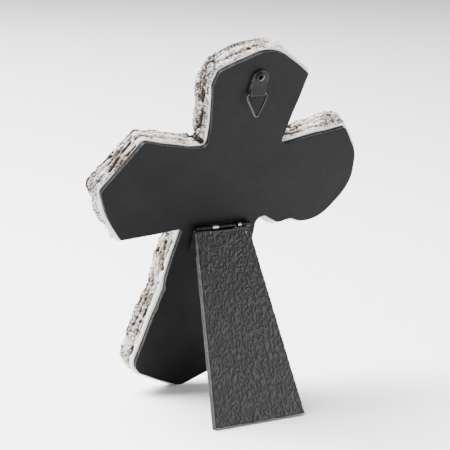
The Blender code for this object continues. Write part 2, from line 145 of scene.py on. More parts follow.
def bevelled(piece, width, segments, degrees):
    # edges sharper than the angle are rounded
    rounding = piece.modifiers.new("rounding", "BEVEL")
    rounding.width = width
    rounding.segments = segments
    rounding.limit_method = "ANGLE"
    rounding.angle_limit = math.radians(degrees)
    return settle(piece)


def combined(piece, other, operation):
    # the other piece is cut out of this one, or made one with it, and goes
    step = piece.modifiers.new("step", "BOOLEAN")
    step.operation, step.solver, step.object = operation, "EXACT", other
    settle(piece)
    bpy.data.objects.remove(other, do_unlink=True)


def block(name, low, high):
    size = [b - a for a, b in zip(low, high)]
    middle = Vector([(a + b) / 2 for a, b in zip(low, high)])
    bm = bmesh.new()
    bmesh.ops.create_cube(bm, size=1.0, matrix=Matrix.Translation(middle) @ Matrix.Diagonal((*size, 1.0)))
    return fromBmesh(bm, name)


def turned(name, profile, steps, place):
    # a closed profile of (radius, along) pairs turned about a line along Y
    verts, faces = [], []
    count = len(profile)
    for k in range(steps):
        angle = 2 * math.pi * k / steps
        verts += [(r * math.cos(angle), along, r * math.sin(angle)) for r, along in profile]
        nextTurn = (k + 1) % steps
        for i in range(count):
            j = (i + 1) % count
            faces.append((k * count + i, k * count + j, nextTurn * count + j, nextTurn * count + i))
    piece = addMesh(name, verts, faces)
    turnOut(piece)
    return placeAt(piece, Matrix.Translation(place))


def rod(radius, low, high, steps, place):
    # a round cutter
    middle = 1e-6
    return turned("rod", [(middle, low), (radius, low), (radius, high), (middle, high)], steps, place)


def paint(piece, name, values):
    # one number for each vertex, which the materials read
    layer = piece.data.attributes.new(name, "FLOAT", "POINT")
    layer.data.foreach_set("value", np.asarray(values, dtype=np.float32).ravel())


def setOn(piece, body, slot, *nodes):
    if nodes:
        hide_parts(*nodes)
    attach(piece, body)


# Tools for nodes. A socket knows its own tree, so most of them take only sockets and values
def feed(socket, value):
    # a socket is linked, and a number or a colour is set
    if isinstance(value, bpy.types.NodeSocket):
        socket.id_data.links.new(value, socket)
    elif socket.type == "RGBA":
        socket.default_value = (*value, 1.0)
    else:
        socket.default_value = value


def put(near, kind, inputs=(), **values):
    # a node in a tree, or beside a socket: its own settings first, then what its inputs get
    node = near.id_data.nodes.new(kind)
    fed = dict(inputs)
    for key, value in values.items():
        if hasattr(node, key):
            setattr(node, key, value)
        else:
            fed[key] = value
    for key, value in fed.items():
        feed(node.inputs[key], value)
    return node


def calc(operation, first, second=None, clamp=False):
    given = {0: first} if second is None else {0: first, 1: second}
    near = first if isinstance(first, bpy.types.NodeSocket) else second
    return put(near, "ShaderNodeMath", given, operation=operation, use_clamp=clamp).outputs[0]


def times(first, second):
    return calc("MULTIPLY", first, second)


def plus(first, second):
    return calc("ADD", first, second)


def minus(first, second, clamp=False):
    return calc("SUBTRACT", first, second, clamp)


def mixed(share, first, second):
    # two colours in one
    return put(share, "ShaderNodeMix", {0: share, 6: first, 7: second}, data_type="RGBA").outputs[2]


def between(value, low, high, lowest=0.0, highest=1.0):
    # a soft step from lowest to highest
    ends = {"Value": value, "From Min": low, "From Max": high, "To Min": lowest, "To Max": highest}
    return put(value, "ShaderNodeMapRange", ends, interpolation_type="SMOOTHSTEP").outputs["Result"]


def noiseOf(place, scale, detail=3.0, roughness=0.6, distortion=0.0):
    node = put(place, "ShaderNodeTexNoise", Vector=place, Scale=scale, Detail=detail, Roughness=roughness,
               Distortion=distortion)
    return node.outputs["Fac"]


def vector(tree, x, y, z=0.0):
    return put(tree, "ShaderNodeCombineXYZ", X=x, Y=y, Z=z).outputs[0]


def painted(tree, name):
    return put(tree, "ShaderNodeAttribute", attribute_name=name).outputs["Fac"]


def bumpFrom(height, strength, distance):
    return put(height, "ShaderNodeBump", Height=height, Strength=strength, Distance=distance).outputs[0]


def newMaterial(name):
    made = bpy.data.materials.new(name)
    made.use_nodes = True
    tree = made.node_tree
    place = put(tree, "ShaderNodeTexCoord").outputs["Object"]
    return made, tree, place, tree.nodes["Principled BSDF"]


def dress(shader, inputs):
    # what the shader is fed
    for key, value in inputs.items():
        feed(shader.inputs[key], value)


def newGroup(name, result, **numbers):
    # a shader group that takes a place and numbers, and gives one number
    tree = bpy.data.node_groups.new(name, "ShaderNodeTree")
    tree.interface.new_socket("Place", in_out="INPUT", socket_type="NodeSocketVector")
    for label, value in numbers.items():
        tree.interface.new_socket(label, in_out="INPUT", socket_type="NodeSocketFloat").default_value = value
    tree.interface.new_socket(result, in_out="OUTPUT", socket_type="NodeSocketFloat")
    return tree, tree.nodes.new("NodeGroupInput").outputs, tree.nodes.new("NodeGroupOutput").inputs[0]


def useGroup(group, **values):
    return put(values["Place"], "ShaderNodeGroup", values, node_tree=group).outputs[0]


def newTree(name, inputs):
    # a Geometry Nodes tree: an input is given its first number, or its kind
    tree = bpy.data.node_groups.new(name, "GeometryNodeTree")
    tree.interface.new_socket("Geometry", in_out="INPUT", socket_type="NodeSocketGeometry")
    for label, value in inputs.items():
        kind = value if isinstance(value, str) else type(value).__name__.capitalize()
        socket = tree.interface.new_socket(label, in_out="INPUT", socket_type="NodeSocket" + kind)
        if kind != value:
            socket.default_value = value
    tree.interface.new_socket("Geometry", in_out="OUTPUT", socket_type="NodeSocketGeometry")
    return tree, tree.nodes.new("NodeGroupInput").outputs, tree.nodes.new("NodeGroupOutput").inputs[0]


def stored(tree, name):
    return put(tree, "GeometryNodeInputNamedAttribute", data_type="FLOAT", Name=name).outputs["Attribute"]


def finishTree(given, last, result):
    # every tree ends the same way
    real = put(last, "GeometryNodeRealizeInstances", Geometry=result).outputs[0]
    feed(last, put(last, "GeometryNodeSetMaterial", Geometry=real, Material=given["Material"]).outputs[0])


def grow(piece, tree, **values):
    # the tree's result becomes the piece's own mesh
    modifier = piece.modifiers.new(tree.name, "NODES")
    modifier.node_group = tree
    for item in tree.interface.items_tree:
        if item.item_type == "SOCKET" and item.in_out == "INPUT" and item.name in values:
            modifier[item.identifier] = values[item.name]
    return settle(piece)


# Effects that several finishes share
def grainGroup():
    # fine grain as a height, from two sizes of noise
    tree, given, last = newGroup("fineGrain", "Height", Scale=1500.0, Coarse=0.4)
    fine = noiseOf(given["Place"], given["Scale"], 4.0, 0.65)
    broad = noiseOf(given["Place"], times(given["Scale"], 0.22), 2.0, 0.5)
    feed(last, plus(fine, times(broad, given["Coarse"])))
    return tree


def speckGroup():
    # small scattered spots: a share of the cells holds one
    tree, given, last = newGroup("specks", "Mask", Scale=700.0, Share=0.3, Size=0.3)
    wobble = put(tree, "ShaderNodeTexNoise", Vector=given["Place"], Scale=given["Scale"], Detail=2.0)
    shifts = {0: wobble.outputs["Color"], 1: (0.0006, 0.0006, 0.0006), 2: given["Place"]}
    shifted = put(tree, "ShaderNodeVectorMath", shifts, operation="MULTIPLY_ADD").outputs[0]
    cells = put(tree, "ShaderNodeTexVoronoi", Vector=shifted, Scale=given["Scale"])
    lottery = put(tree, "ShaderNodeSeparateColor", Color=cells.outputs["Color"])
    chosen = calc("LESS_THAN", lottery.outputs[0], given["Share"])
    near = minus(1.0, calc("DIVIDE", cells.outputs["Distance"], given["Size"]), True)
    feed(last, times(chosen, near))
    return tree


def wearGroup():
    # how far a finish is rubbed through: near a painted edge, broken up by noise
    tree, given, last = newGroup("edgeWear", "Mask", Edge=0.0, Amount=0.5, Scale=900.0)
    broken = noiseOf(given["Place"], given["Scale"], 4.0, 0.7)
    total = plus(times(given["Edge"], given["Amount"]), minus(broken, 0.5))
    feed(last, between(total, 0.42, 0.58))
    return tree


fineGrain = grainGroup()
specks = speckGroup()
edgeWear = wearGroup()
print("tools and shared node groups ready")


# Noise on arrays
def chance(*keys):
    total = sum(np.asarray(key, dtype=float) * spread for key, spread in zip(keys, (127.1, 311.7, 74.7)))
    return np.abs(np.sin(total + 0.37) * 43758.5453) % 1.0


def waves(x, y, seed):
    # smooth noise, about -1 to 1, with a pattern of its own for each seed
    i, j = np.floor(x), np.floor(y)
    fx, fy = x - i, y - j
    fx, fy = fx * fx * (3 - 2 * fx), fy * fy * (3 - 2 * fy)
    near = chance(i, j, seed) * (1 - fx) + chance(i + 1, j, seed) * fx
    far = chance(i, j + 1, seed) * (1 - fx) + chance(i + 1, j + 1, seed) * fx
    return 2 * (near * (1 - fy) + far * fy) - 1


def ramp(value, low, high):
    share = np.clip((value - low) / (high - low), 0.0, 1.0)
    return share * share * (3 - 2 * share)


def cellsRound(x, y):
    # the nine cells about each place
    i, j = np.floor(x), np.floor(y)
    return [(i + di, j + dj) for di in (-1, 0, 1) for dj in (-1, 0, 1)]


def holes(x, y, seed, share):
    # distance to the nearest hole, in cells, where only a share of the cells has one
    far = 9.0
    nearest = np.full(np.broadcast(x, y).shape, far)
    for i, j in cellsRound(x, y):
        px = i + 0.2 + 0.6 * chance(i, j, seed)
        py = j + 0.2 + 0.6 * chance(i, j, seed + 1)
        away = np.hypot(x - px, y - py) + np.where(chance(i, j, seed + 2) < share, 0.0, far)
        nearest = np.minimum(nearest, away)
    return nearest


def chips(x, y, seed):
    # facets such as a chisel leaves, from -1 to 0.4
    nearest, height = np.full(x.shape, 9.0), np.zeros(x.shape)
    for i, j in cellsRound(x, y):
        right, up = x - (i + chance(i, j, seed)), y - (j + chance(i, j, seed + 1))
        away = np.hypot(right, up)
        lean = right * (chance(i, j, seed + 2) - 0.5) + up * (chance(i, j, seed + 3) - 0.5)
        height = np.where(away < nearest, lean - 0.6 * chance(i, j, seed + 4), height)
        nearest = np.minimum(nearest, away)
    return np.clip(height, -1.0, 0.4)


# The outline, in mm as seen from behind: right, up, corner radius
outline = [
    (1.5, -1.3, 8), (28.8, 10.3, 10), (20.9, 106, 4), (35.5, 97.8, 6), (42.6, 99.7, 4), (48.5, 97.3, 12),
    (60.8, 97.6, 18), (75.1, 116.8, 28), (72.4, 136.8, 20), (60.6, 152.3, 2), (23, 145, 2.8),
    (28.4, 185.4, 1.5), (9.8, 197.8, 24), (-1.5, 199.4, 20), (-23.8, 189.3, 2), (-25.6, 181.3, 3),
    (-20.9, 161.5, 25), (-19.4, 147.1, 3), (-30, 147.5, 25), (-56.3, 153.4, 2.5), (-73.7, 126.7, 3),
    (-68, 113.5, 40), (-56.4, 97.4, 2), (-22, 100.3, 1.5), (-23.9, 71, 8), (-22.9, 62.5, 6),
    (-25.4, 48.5, 12), (-29.9, 13.5, 10),
]
handCutDeep = 0.22                  # waviness that the knife left in the edge
handCutSize = 13.0
roomUsed = 0.8                      # share of the free room at an inner corner that a ring may use


def roundedOutline(step):
    # points a step apart, the outward normal at each, and how far round the outline it is
    corners = [Vector(c[:2]) for c in outline]
    count = len(corners)
    sides = [(corners[(i + 1) % count] - corners[i]).normalized() for i in range(count)]
    arcs = []
    for i, (corner, (_, _, radius)) in enumerate(zip(corners, outline)):
        before, after = sides[i - 1], sides[i]
        turn = math.atan2(before.cross(after), before.dot(after))
        hand = math.copysign(1.0, turn)
        start = corner - before * radius * math.tan(abs(turn) / 2)
        centre = start + Vector((-before.y, before.x)) * radius * hand
        steps = max(2, math.ceil(abs(turn) * radius / step))
        arc = []
        for k in range(steps + 1):
            normal = Matrix.Rotation(turn * k / steps, 2) @ Vector((before.y, -before.x))
            arc.append((centre + normal * radius * hand, normal))
        arcs.append(arc)
    points = []
    for i in range(count):
        (start, normal), (end, _) = arcs[i][-1], arcs[(i + 1) % count][0]
        pieces = max(1, round((end - start).length / step))
        points += arcs[i]
        points += [(start.lerp(end, k / pieces), normal) for k in range(1, pieces)]
    places = np.array([p for p, _ in points])
    normals = np.array([n for _, n in points])
    strides = np.linalg.norm(np.roll(places, -1, axis=0) - places, axis=1)
    return places, normals, np.concatenate(([0.0], np.cumsum(strides)[:-1]))


def room(places, normals, sign):
    # how far each point may move out (sign 1) or in (-1) before it meets another part of the outline
    across = places[None, :, :] - places[:, None, :]
    along = (across * (sign * normals)[:, None, :]).sum(2)
    least, endless = 1e-6, 1e3
    radius = (across ** 2).sum(2) / (2.0 * np.maximum(along, least))
    return roomUsed * np.where(along > least, radius, endless).min(axis=1)


def movedOut(places, normals, reach, aside=(0.0, 0.0)):
    knife = np.array([2.0 * handCutDeep * noise.noise(Vector((*p, 0.0)) / handCutSize) for p in places])
    reach = reach + knife + normals @ np.array(aside)
    reach = np.minimum(np.maximum(reach, -room(places, normals, -1)), room(places, normals, 1))
    return places + normals * reach[:, None]


def swell(places, seed, size):
    # slow rise and fall, about -1 to 1
    return np.array([2.0 * noise.noise(Vector((p[0] / size, p[1] / size, 7.3 * seed))) for p in places])


def bumpsAt(places, bumps):
    total = np.zeros(len(places))
    for right, up, radius, height in bumps:
        away = np.hypot(places[:, 0] - right, places[:, 1] - up) / radius
        total += height * np.exp(-1.5 * away * away)
    return total


def insideRing(ring, spacing, clear):
    # a staggered grid of points inside a ring, clear of its edge
    ahead = np.roll(ring, -1, axis=0)
    along = ahead - ring
    lengths = (along * along).sum(1)
    low, high = ring.min(axis=0), ring.max(axis=0)
    found = []
    for row, up in enumerate(np.arange(low[1], high[1], spacing * 0.866)):
        across = np.arange(low[0] + (row % 2) * spacing / 2, high[0], spacing)
        here = np.column_stack((across, np.full(len(across), up)))
        gap = here[:, None, :] - ring[None, :, :]
        share = np.clip((gap * along).sum(2) / lengths, 0.0, 1.0)
        away = np.linalg.norm(gap - along * share[:, :, None], axis=2).min(axis=1)
        straddles = (ring[:, 1] > up) != (ahead[:, 1] > up)
        rise = np.where(along[:, 1] == 0, 1e-12, along[:, 1])
        crossing = ring[:, 0] + (up - ring[:, 1]) * along[:, 0] / rise
        crossed = (straddles[None, :] & (across[:, None] < crossing[None, :])).sum(axis=1)
        found.append(here[(crossed % 2 == 1) & (away > clear)])
    return np.vstack(found)


def filled(ring, inside=(), start=0):
    # triangles over a ring of points and the points inside it, numbered from start
    count = len(ring)
    flat = [Vector(p) for p in ring] + [Vector(p) for p in inside]
    border = [(k, (k + 1) % count) for k in range(count)]
    wholeOnly = 1
    faces = geometry.delaunay_2d_cdt(flat, border, [range(count)], wholeOnly, 1e-6)[2]
    return [tuple(start + k for k in face) for face in faces]


def ringFaces(rows, count):
    # quads between rings of points
    around = np.arange(count)
    ahead = (around + 1) % count
    quads = np.column_stack((around, around + count, ahead + count, ahead))
    return np.vstack([quads + row * count for row in range(rows - 1)]).tolist()


# The cast body: layers of rock between the smooth lip at the back and the field in front
body = {
    "step": 0.53,                   # between points round the outline
    "behindBoard": 2.7,             # the body's back, under the board
    # depth, its wander, the seam it wanders on, reach past the board, roughness, share of the lumps
    "layers": [
        (0, 0, 0, 1.1, 0.25, 0), (0.35, 0, 0, 1.4, 0.25, 0), (2.1, 0.5, 1, 2.1, 0.3, 0.2),
        (2.6, 0.5, 1, 0.9, 0.9, 0.2), (3.1, 0.5, 1, 2.5, 0.5, 0.4), (4.8, 0.9, 2, 2.7, 0.6, 0.6),
        (5.3, 0.9, 2, 1.2, 1, 0.6), (5.8, 0.9, 2, 2.8, 0.6, 0.8), (7.6, 0.6, 3, 2.9, 0.5, 1),
        (8.8, 0.5, 4, 1.6, 0.5, 0.8), (9.8, 0.2, 5, -2.3, 1.2, 0),
    ],
    "rows": (4, 8, 4, 4, 8, 3, 3, 8, 5, 9),     # rows of points from each layer to the next
    "lipAside": (0.6, -0.8), "frontAside": (-1.5, -0.2),
    "seamSize": 18, "roughSize": 10,
    "fieldRise": 0.35, "fieldGrid": 1.7, "fieldClear": 0.6, "fieldWave": 27,
    # right, up, radius, height
    "lumps": [
        (51, 152, 11, 3.6), (62, 151, 5, -0.8), (22, 191, 12, -2.4), (12, 197, 8, 0.8), (0, 199, 8, -1),
        (-12, 195, 8, 1.2), (-25, 188, 6, -1.2), (-23, 168, 14, 1.5), (-22.5, 157, 5, 0.9),
        (-24.5, 165, 3.2, -1), (-26, 172, 3, 0.5), (-40, 150, 12, 0.4), (-60, 149, 9, -1),
        (-71, 116, 12, -1.4), (-60, 101, 8, -3), (-26, 40, 30, 1.5), (-23, 66, 8, -0.8),
        (-29, 12, 8, -2.2),
    ],
    # how deep the smooth lip goes before the rock starts, and where that differs: right, up, radius, change
    "lipDeep": 0.35,
    "lipPatches": [
        (-66, 142, 14, -0.6), (-25, 60, 30, 1.3), (-30, 16, 14, 1), (-22, 95, 6, 0.8),
        (-12, 196, 14, -0.4),
    ],
    # where the lip reaches further past the board, or less: right, up, radius, change
    "lipReach": [
        (-66, 141, 13, -0.7), (-25, 172, 14, -0.1), (-27, 50, 45, 0.5), (-66, 110, 12, 0.2),
    ],
    "lipFades": 3,                  # depth where that change has faded
    # share of the lip's back face where the rock shows, and where that differs: right, up, radius, change
    "lipThin": 0.2,
    "lipThinPatches": [
        (-66, 141, 12, 0.8), (-24, 160, 10, 0.3), (-26, 180, 9, 0.4), (-14, 195, 12, 0.35),
        (-27, 50, 40, -0.4), (45, 150, 14, 0.1), (-40, 150, 12, 0.1),
    ],
    # fine beds of rock within the layers
    "bedThick": 1.7, "bedWander": 0.5, "bedWave": 14, "blockShort": 3, "blockMore": 10,
    "blockStep": 0.6, "seamDeep": 0.55, "seamWide": 0.22, "crackDeep": 0.4, "crackWide": 0.28,
    "jag": 0.45, "jagLong": 4.6, "grain": 0.16, "pitCell": 1.15, "pitDeep": 0.5,
    "chipSize": 4.5, "chipDeep": 0.7,
    # between which layers each thing comes in
    "wallFrom": (0.6, 1), "grooveFrom": (0.2, 0.9), "sootFrom": (0.2, 0.8), "lipEnds": (0.9, 1.1),
    "chipsFrom": (6.5, 8.2), "chipsEnd": (9.7, 10), "frontFrom": (8, 9.4), "turnFrom": 7.6, "turnOver": 1.6,
}
# Where the wash is: right, up, radius, brown wash, dark seams, pits
washPatches = [
    (-66, 141, 12, 1, 1.3, 0.6), (-52, 153, 9, 1, 0.4, 0.3), (-36, 150, 11, 0.95, 0.3, 0.5),
    (-20.5, 149, 4, 0.8, 1.4, 0.2), (-23, 160, 12, 0.35, 1.3, 1.5), (-27, 176, 8, 0.25, 1.1, 1.5),
    (-26, 186, 7, 0.2, 0.5, 1.7), (-14, 195, 9, 0.55, 0.7, 0.7), (0, 199, 7, 0.5, 0.2, 0.3),
    (-73, 127, 8, 0.05, 0.3, 1.3), (-67, 110, 11, 0.15, 0.4, 1.2), (-24, 84, 12, 0.6, 1, 0.8),
    (-25, 62, 8, 0.9, 0.9, 1.1), (-27, 50, 8, 0.9, 0.8, 1.1), (-28, 36, 9, 0.6, 0.9, 1.3),
    (-29.5, 17, 7, 0.6, 1, 1), (33, 147, 9, 0.6, 0.5, 0.3), (55, 153, 8, 0.9, 0.3, 1),
    (26, 165, 18, 0.4, 0.6, 0.7), (73, 122, 20, 0.4, 0.5, 0.7), (45, 98, 18, 0.4, 0.5, 0.7),
    (24, 50, 40, 0.4, 0.6, 0.7), (-40, 98, 14, 0.3, 0.5, 0.7),
]
# Creases full of soot: right, up, radius, amount
sootSpots = [(-21.4, 148.6, 2.7, 1.3), (24.5, 147.3, 2, 0.3)]
grooveWider = 1.3                   # how much wider they are cut than the table says
# Grooves that follow the beds: width, depth, how dark from brown to soot, and the course as
# right, up, depth from the body's back
grooves = [
    (0.45, 1, 1, [(-60.4, 150.6, 3.9), (-63.4, 145.7, 3.1), (-66.5, 140.1, 2.3), (-69.7, 136.5, 1.6)]),
    (0.35, 0.8, 1, [(-59.7, 150.4, 0.7), (-62.9, 145.2, 0.5)]),
    (0.3, 0.5, 0.5, [(-64.1, 144.1, 1), (-65.1, 142.4, 0.7), (-66, 140.3, 0.5)]),
    (0.4, 0.9, 0.8, [(-63.2, 146.7, 5.1), (-65.3, 144.2, 5.4), (-66.9, 142.3, 5.5), (-68.1, 140.7, 6.2)]),
    (0.45, 0.9, 0.6, [(-64.8, 145, 3.9), (-67.2, 141.5, 3.6), (-69.1, 137.7, 4.8), (-70.1, 136, 4.9)]),
    (0.4, 0.8, 0.4, [(-70.6, 135.6, 5), (-72.6, 133.8, 5.6), (-73.6, 131.9, 5.6)]),
    (0.4, 0.6, 0.5, [(-69.4, 138.4, 7.4), (-71.1, 136.4, 7.2)]),
    (0.5, 0.5, 0.1, [(-59.5, 151.4, 5), (-58.5, 153.9, 3.1), (-55.2, 154.6, 3)]),
    (1.15, 1.4, 1, [(-23.6, 149.3, 7.1), (-22.8, 149.6, 4.1), (-21.8, 149.2, 1.6)]),
    (0.5, 1.3, 0.9, [(-25.4, 165.2, 3.3), (-24.1, 160, 3.6), (-23.8, 155.5, 4.4), (-21.9, 149.8, 7.7)]),
    (0.28, 0.8, 0.9, [(-28.6, 181.3, 2.8), (-27.3, 176.2, 2.7), (-25.5, 170.4, 2.9), (-24.7, 167.5, 2)]),
    (0.38, 1, 0.9, [(-29.3, 181.5, 4.8), (-28.8, 178.8, 4.1), (-27.8, 174.9, 4), (-26.4, 170.8, 3.2)]),
    (0.5, 1.1, 0.8, [(-28.6, 184.5, 4.3), (-28.8, 182.9, 3.1)]),
    (0.6, 0.6, 0.2, [(-27.1, 170.2, 5.9), (-26, 166.5, 5.5)]),
    (0.35, 0.8, 0.7, [(-26.8, 185.7, 5.7), (-26.3, 187.6, 6), (-24.4, 189.5, 5.7), (-23, 191.8, 3.7)]),
    (0.4, 0.8, 0.4, [(-23, 191.8, 3.7), (-18.2, 194.5, 3.2), (-12.4, 195.7, 3), (-6.9, 197.9, 3.1)]),
    (0.35, 1, 1, [(-14.1, 194.2, 0.3), (-14.5, 194.6, 1.4)]),
    (0.45, 1, 1, [(-7.3, 197.8, 3.1), (-6.6, 198, 3.1)]),
    (0.8, 0.6, 0.2, [(-4.4, 198.5, 3.5), (-3.6, 198.6, 3.4)]),
    (0.35, 0.6, 0.2, [(-2.8, 199.5, 4.3), (1, 200, 4.2), (4.2, 199.8, 3.8)]),
    (0.3, 0.4, 0.1, [(-3.1, 197.9, 2.8), (1.5, 199.1, 1.9)]),
    (0.18, 0.7, 1, [(1.8, 198.9, -0.2), (1.9, 199, 0.7)]),
    (0.4, 1, 0.9, [(-25.3, 89.6, 4), (-25.6, 83.8, 3.9), (-25.2, 79.9, 3.1)]),
    (0.6, 1.5, 1, [(-25.3, 79.4, 2.7), (-25.6, 76, 2), (-25.8, 73.3, 1.7)]),
    (1.1, 0.5, 0, [(-25.7, 80.6, 4.1), (-26.1, 74.3, 3.6), (-26.2, 69.6, 3.1)]),
    (0.3, 0.5, 0.5, [(-23.8, 91, 1.1), (-24.9, 87.7, 2.5)]),
    (0.5, 0.8, 0.6, [(-24.8, 93.4, 4.2), (-24.9, 92.7, 4.2)]),
    (0.4, 0.7, 0.4, [(-26.4, 84.3, 6.3), (-26.6, 80.3, 6.9), (-26.5, 74.1, 5.9), (-26.1, 69.7, 6.5)]),
    (0.4, 0.7, 0.3, [(-26.1, 69.7, 6.5), (-25.4, 65, 5.8), (-25.6, 62.4, 4.1)]),
    (0.45, 0.7, 0.6, [(-25.4, 65.8, 1.2), (-25.2, 64.6, 1.7)]),
    (0.9, 0.7, 0.1, [(-26.5, 57.8, 3.2), (-26.8, 55.2, 2.9), (-27.5, 51.8, 3.5)]),
    (0.4, 0.6, 0.4, [(-27.9, 58.6, 7.4), (-29, 55.1, 6.3), (-29.6, 50.7, 6.6)]),
    (0.4, 0.9, 0.9, [(-27.6, 50.9, 3.2), (-27.6, 46.1, 2.8), (-27.9, 43.8, 2.8)]),
    (0.45, 0.8, 0.4, [(-29.1, 47.6, 4.5), (-29.4, 43.9, 5.3), (-30, 38.9, 5.8), (-30.7, 37.1, 6.4)]),
    (0.55, 0.9, 0.8, [(-29.1, 41.3, 3.1), (-29.2, 40.7, 3.1)]),
    (0.5, 0.7, 0.3, [(-29.7, 36.2, 3.3), (-29.7, 33.2, 3.4)]),
    (0.5, 0.6, 0.4, [(-31.9, 30.7, 6.8), (-31.9, 30, 6.8)]),
    (0.5, 0.6, 0.3, [(-30.3, 29, 3.6), (-30.3, 28.2, 3.6)]),
    (0.6, 1.5, 1, [(-30.6, 26.9, 2.5), (-30.9, 22, 2)]),
    (1.1, 0.5, 0.1, [(-31, 20.2, 2.2), (-30.8, 16.7, 2.3), (-29.6, 15.2, 1.6)]),
    (0.4, 0.7, 0.6, [(-32.6, 19.4, 6), (-31, 15.7, 5.6)]),
    (0.4, 0.9, 0.6, [(31, 148.9, 6.1), (35.9, 150.4, 5.7), (38.7, 150.9, 5.4), (42.7, 151.9, 4.7)]),
    (0.35, 0.6, 0.4, [(45, 152.6, 4.3), (47.7, 153.2, 4)]),
    (0.4, 0.9, 0.6, [(27, 147.4, 3.2), (32.5, 148.1, 3.1), (37.6, 149.1, 2.8), (39.8, 150.2, 2.2)]),
    (0.6, 0.7, 0.2, [(42.2, 150.3, 2.7), (45.3, 151.6, 1.8), (48.9, 152.4, 1.7)]),
]


def wallRelief(along, depth, pits):
    # fine beds, blocks, cracks and pits on the wall, in mm out of it
    beds = (depth + body["bedWander"] * waves(along / body["bedWave"], 0.0 * depth, 3)) / body["bedThick"]
    bed = np.floor(beds)
    blockLong = body["blockShort"] + body["blockMore"] * chance(bed, 5)
    blocks = along / blockLong + 7.0 * chance(bed, 6) + 0.25 * waves(along / 3.0, depth / 0.6, 8)
    inBlock = np.minimum(blocks % 1.0, 1.0 - blocks % 1.0) * blockLong
    inBed = np.minimum(beds % 1.0, 1.0 - beds % 1.0) * body["bedThick"]
    rise = body["blockStep"] * (chance(bed, np.floor(blocks), 7) - 0.5)
    isOpen = ramp(waves(along / 6.0, bed * 3.7, 9), -0.25, 0.5)
    seam = body["seamDeep"] * np.exp(-(inBed / body["seamWide"]) ** 2) * isOpen
    crack = body["crackDeep"] * np.exp(-(inBlock / body["crackWide"]) ** 2) * ramp(chance(bed, 11), 0.2, 0.6)
    grain = body["grain"] * (waves(along / 1.1, depth / 0.8, 12) + 0.6 * waves(along / 0.6, depth / 0.45, 13))
    rise = rise + body["jag"] * waves(along / body["jagLong"], depth / 3.2, 90)
    rise = rise + 0.5 * body["jag"] * waves(along / (0.4 * body["jagLong"]), depth / 1.4, 91)
    away = holes(along / body["pitCell"], depth / body["pitCell"], 14, 0.1 + 0.6 * np.clip(pits, 0.0, 1.0))
    pit = (1.0 - ramp(away, 0.12, 0.42)) * np.clip(pits, 0.0, 1.0)
    return rise - seam - crack + grain - body["pitDeep"] * pit, seam / body["seamDeep"] * isOpen, pit


def cutGrooves(along, depth, places, alongPlaces):
    # how much of a groove each point of the wall is in, as depth in mm, and its brown and its soot
    wobbleAlong = along + 0.5 * waves(along / 1.9, depth / 1.3, 80)
    wobbleDepth = depth + 0.28 * waves(along / 2.3, depth / 1.1, 81)
    cut, brown, soot = np.zeros(depth.shape), np.zeros(depth.shape), np.zeros(depth.shape)
    for number, (width, deep, darkness, course) in enumerate(grooves):
        stops = []
        for right, up, level in course:
            nearest = np.hypot(places[:, 0] - right, places[:, 1] - up).argmin()
            stops.append((alongPlaces[nearest], level))
        wide = width * grooveWider * (1.0 + 0.45 * waves(along / 1.7, 0.0 * depth, 90 + number))
        away = np.full(depth.shape, 99.0)
        for (startAlong, startLevel), (endAlong, endLevel) in zip(stops, stops[1:]):
            runAlong, runLevel = endAlong - startAlong, endLevel - startLevel
            share = ((wobbleAlong - startAlong) * runAlong + (wobbleDepth - startLevel) * runLevel) / (
                runAlong * runAlong + runLevel * runLevel + 1e-9)
            share = np.clip(share, 0.0, 1.0)
            away = np.minimum(away, np.hypot(wobbleAlong - startAlong - share * runAlong,
                                             wobbleDepth - startLevel - share * runLevel))
        inside = np.exp(-(away / wide) ** 2)
        cut = np.maximum(cut, deep * inside)
        brown = np.maximum(brown, inside * (1.0 - 0.3 * darkness))
        soot = np.maximum(soot, inside * darkness)
    return cut, brown, soot


def wallRows(places, normals):
    # rings of points round the body, how deep they are, and the number of the layer each is at
    lumps, lipReach = bumpsAt(places, body["lumps"]), bumpsAt(places, body["lipReach"])
    rings, depths = [], []
    for number, (depth, wander, seam, reach, rough, share) in enumerate(body["layers"]):
        mix = depth / body["layers"][-1][0]
        aside = [a + (b - a) * mix for a, b in zip(body["lipAside"], body["frontAside"])]
        reach = reach + rough * swell(places, 20 + number, body["roughSize"]) + share * lumps
        reach = reach + lipReach * max(0.0, 1.0 - depth / body["lipFades"])
        rings.append(movedOut(places, normals, reach, aside))
        depths.append(depth + wander * swell(places, seam, body["seamSize"]))
    flats, deeps, levels = [rings[0]], [depths[0]], [0.0]
    for number, rows in enumerate(body["rows"]):
        for share in [k / rows for k in range(1, rows + 1)]:
            flats.append(rings[number] * (1 - share) + rings[number + 1] * share)
            deeps.append(depths[number] * (1 - share) + depths[number + 1] * share)
            levels.append(number + share)
    return np.array(flats), np.array(deeps), np.array(levels)[:, None]


def evenedOut(proud, reach=4):
    # the wall's level with its small hollows and bumps smoothed away, but for its first and last rows
    level = proud.copy()
    for _ in range(3):
        for axis in (1, 0):
            level = sum(np.roll(level, k, axis=axis) for k in range(-reach, reach + 1)) / (2 * reach + 1)
            level[:reach], level[-reach:] = proud[:reach], proud[-reach:]
    return level


def frontField(edge):
    # points over the front inside its edge, with how deep and how brown they are
    inside = insideRing(edge, body["fieldGrid"], body["fieldGrid"] * body["fieldClear"])
    right, up = inside[:, 0], inside[:, 1]
    tooled = 0.14 * waves(right / 3.2, up / 3.2, 60) + 0.22 * chips(right / 7.0, up / 7.0, 61)
    deep = body["layers"][-1][0] + body["fieldRise"] * (1.0 + swell(inside, 40, body["fieldWave"]))
    brown = 0.35 * ramp(waves(right / 9.0, up / 9.0, 63), -0.1, 0.9) - tooled
    return inside, deep + tooled, np.clip(brown, 0.0, 1.0)


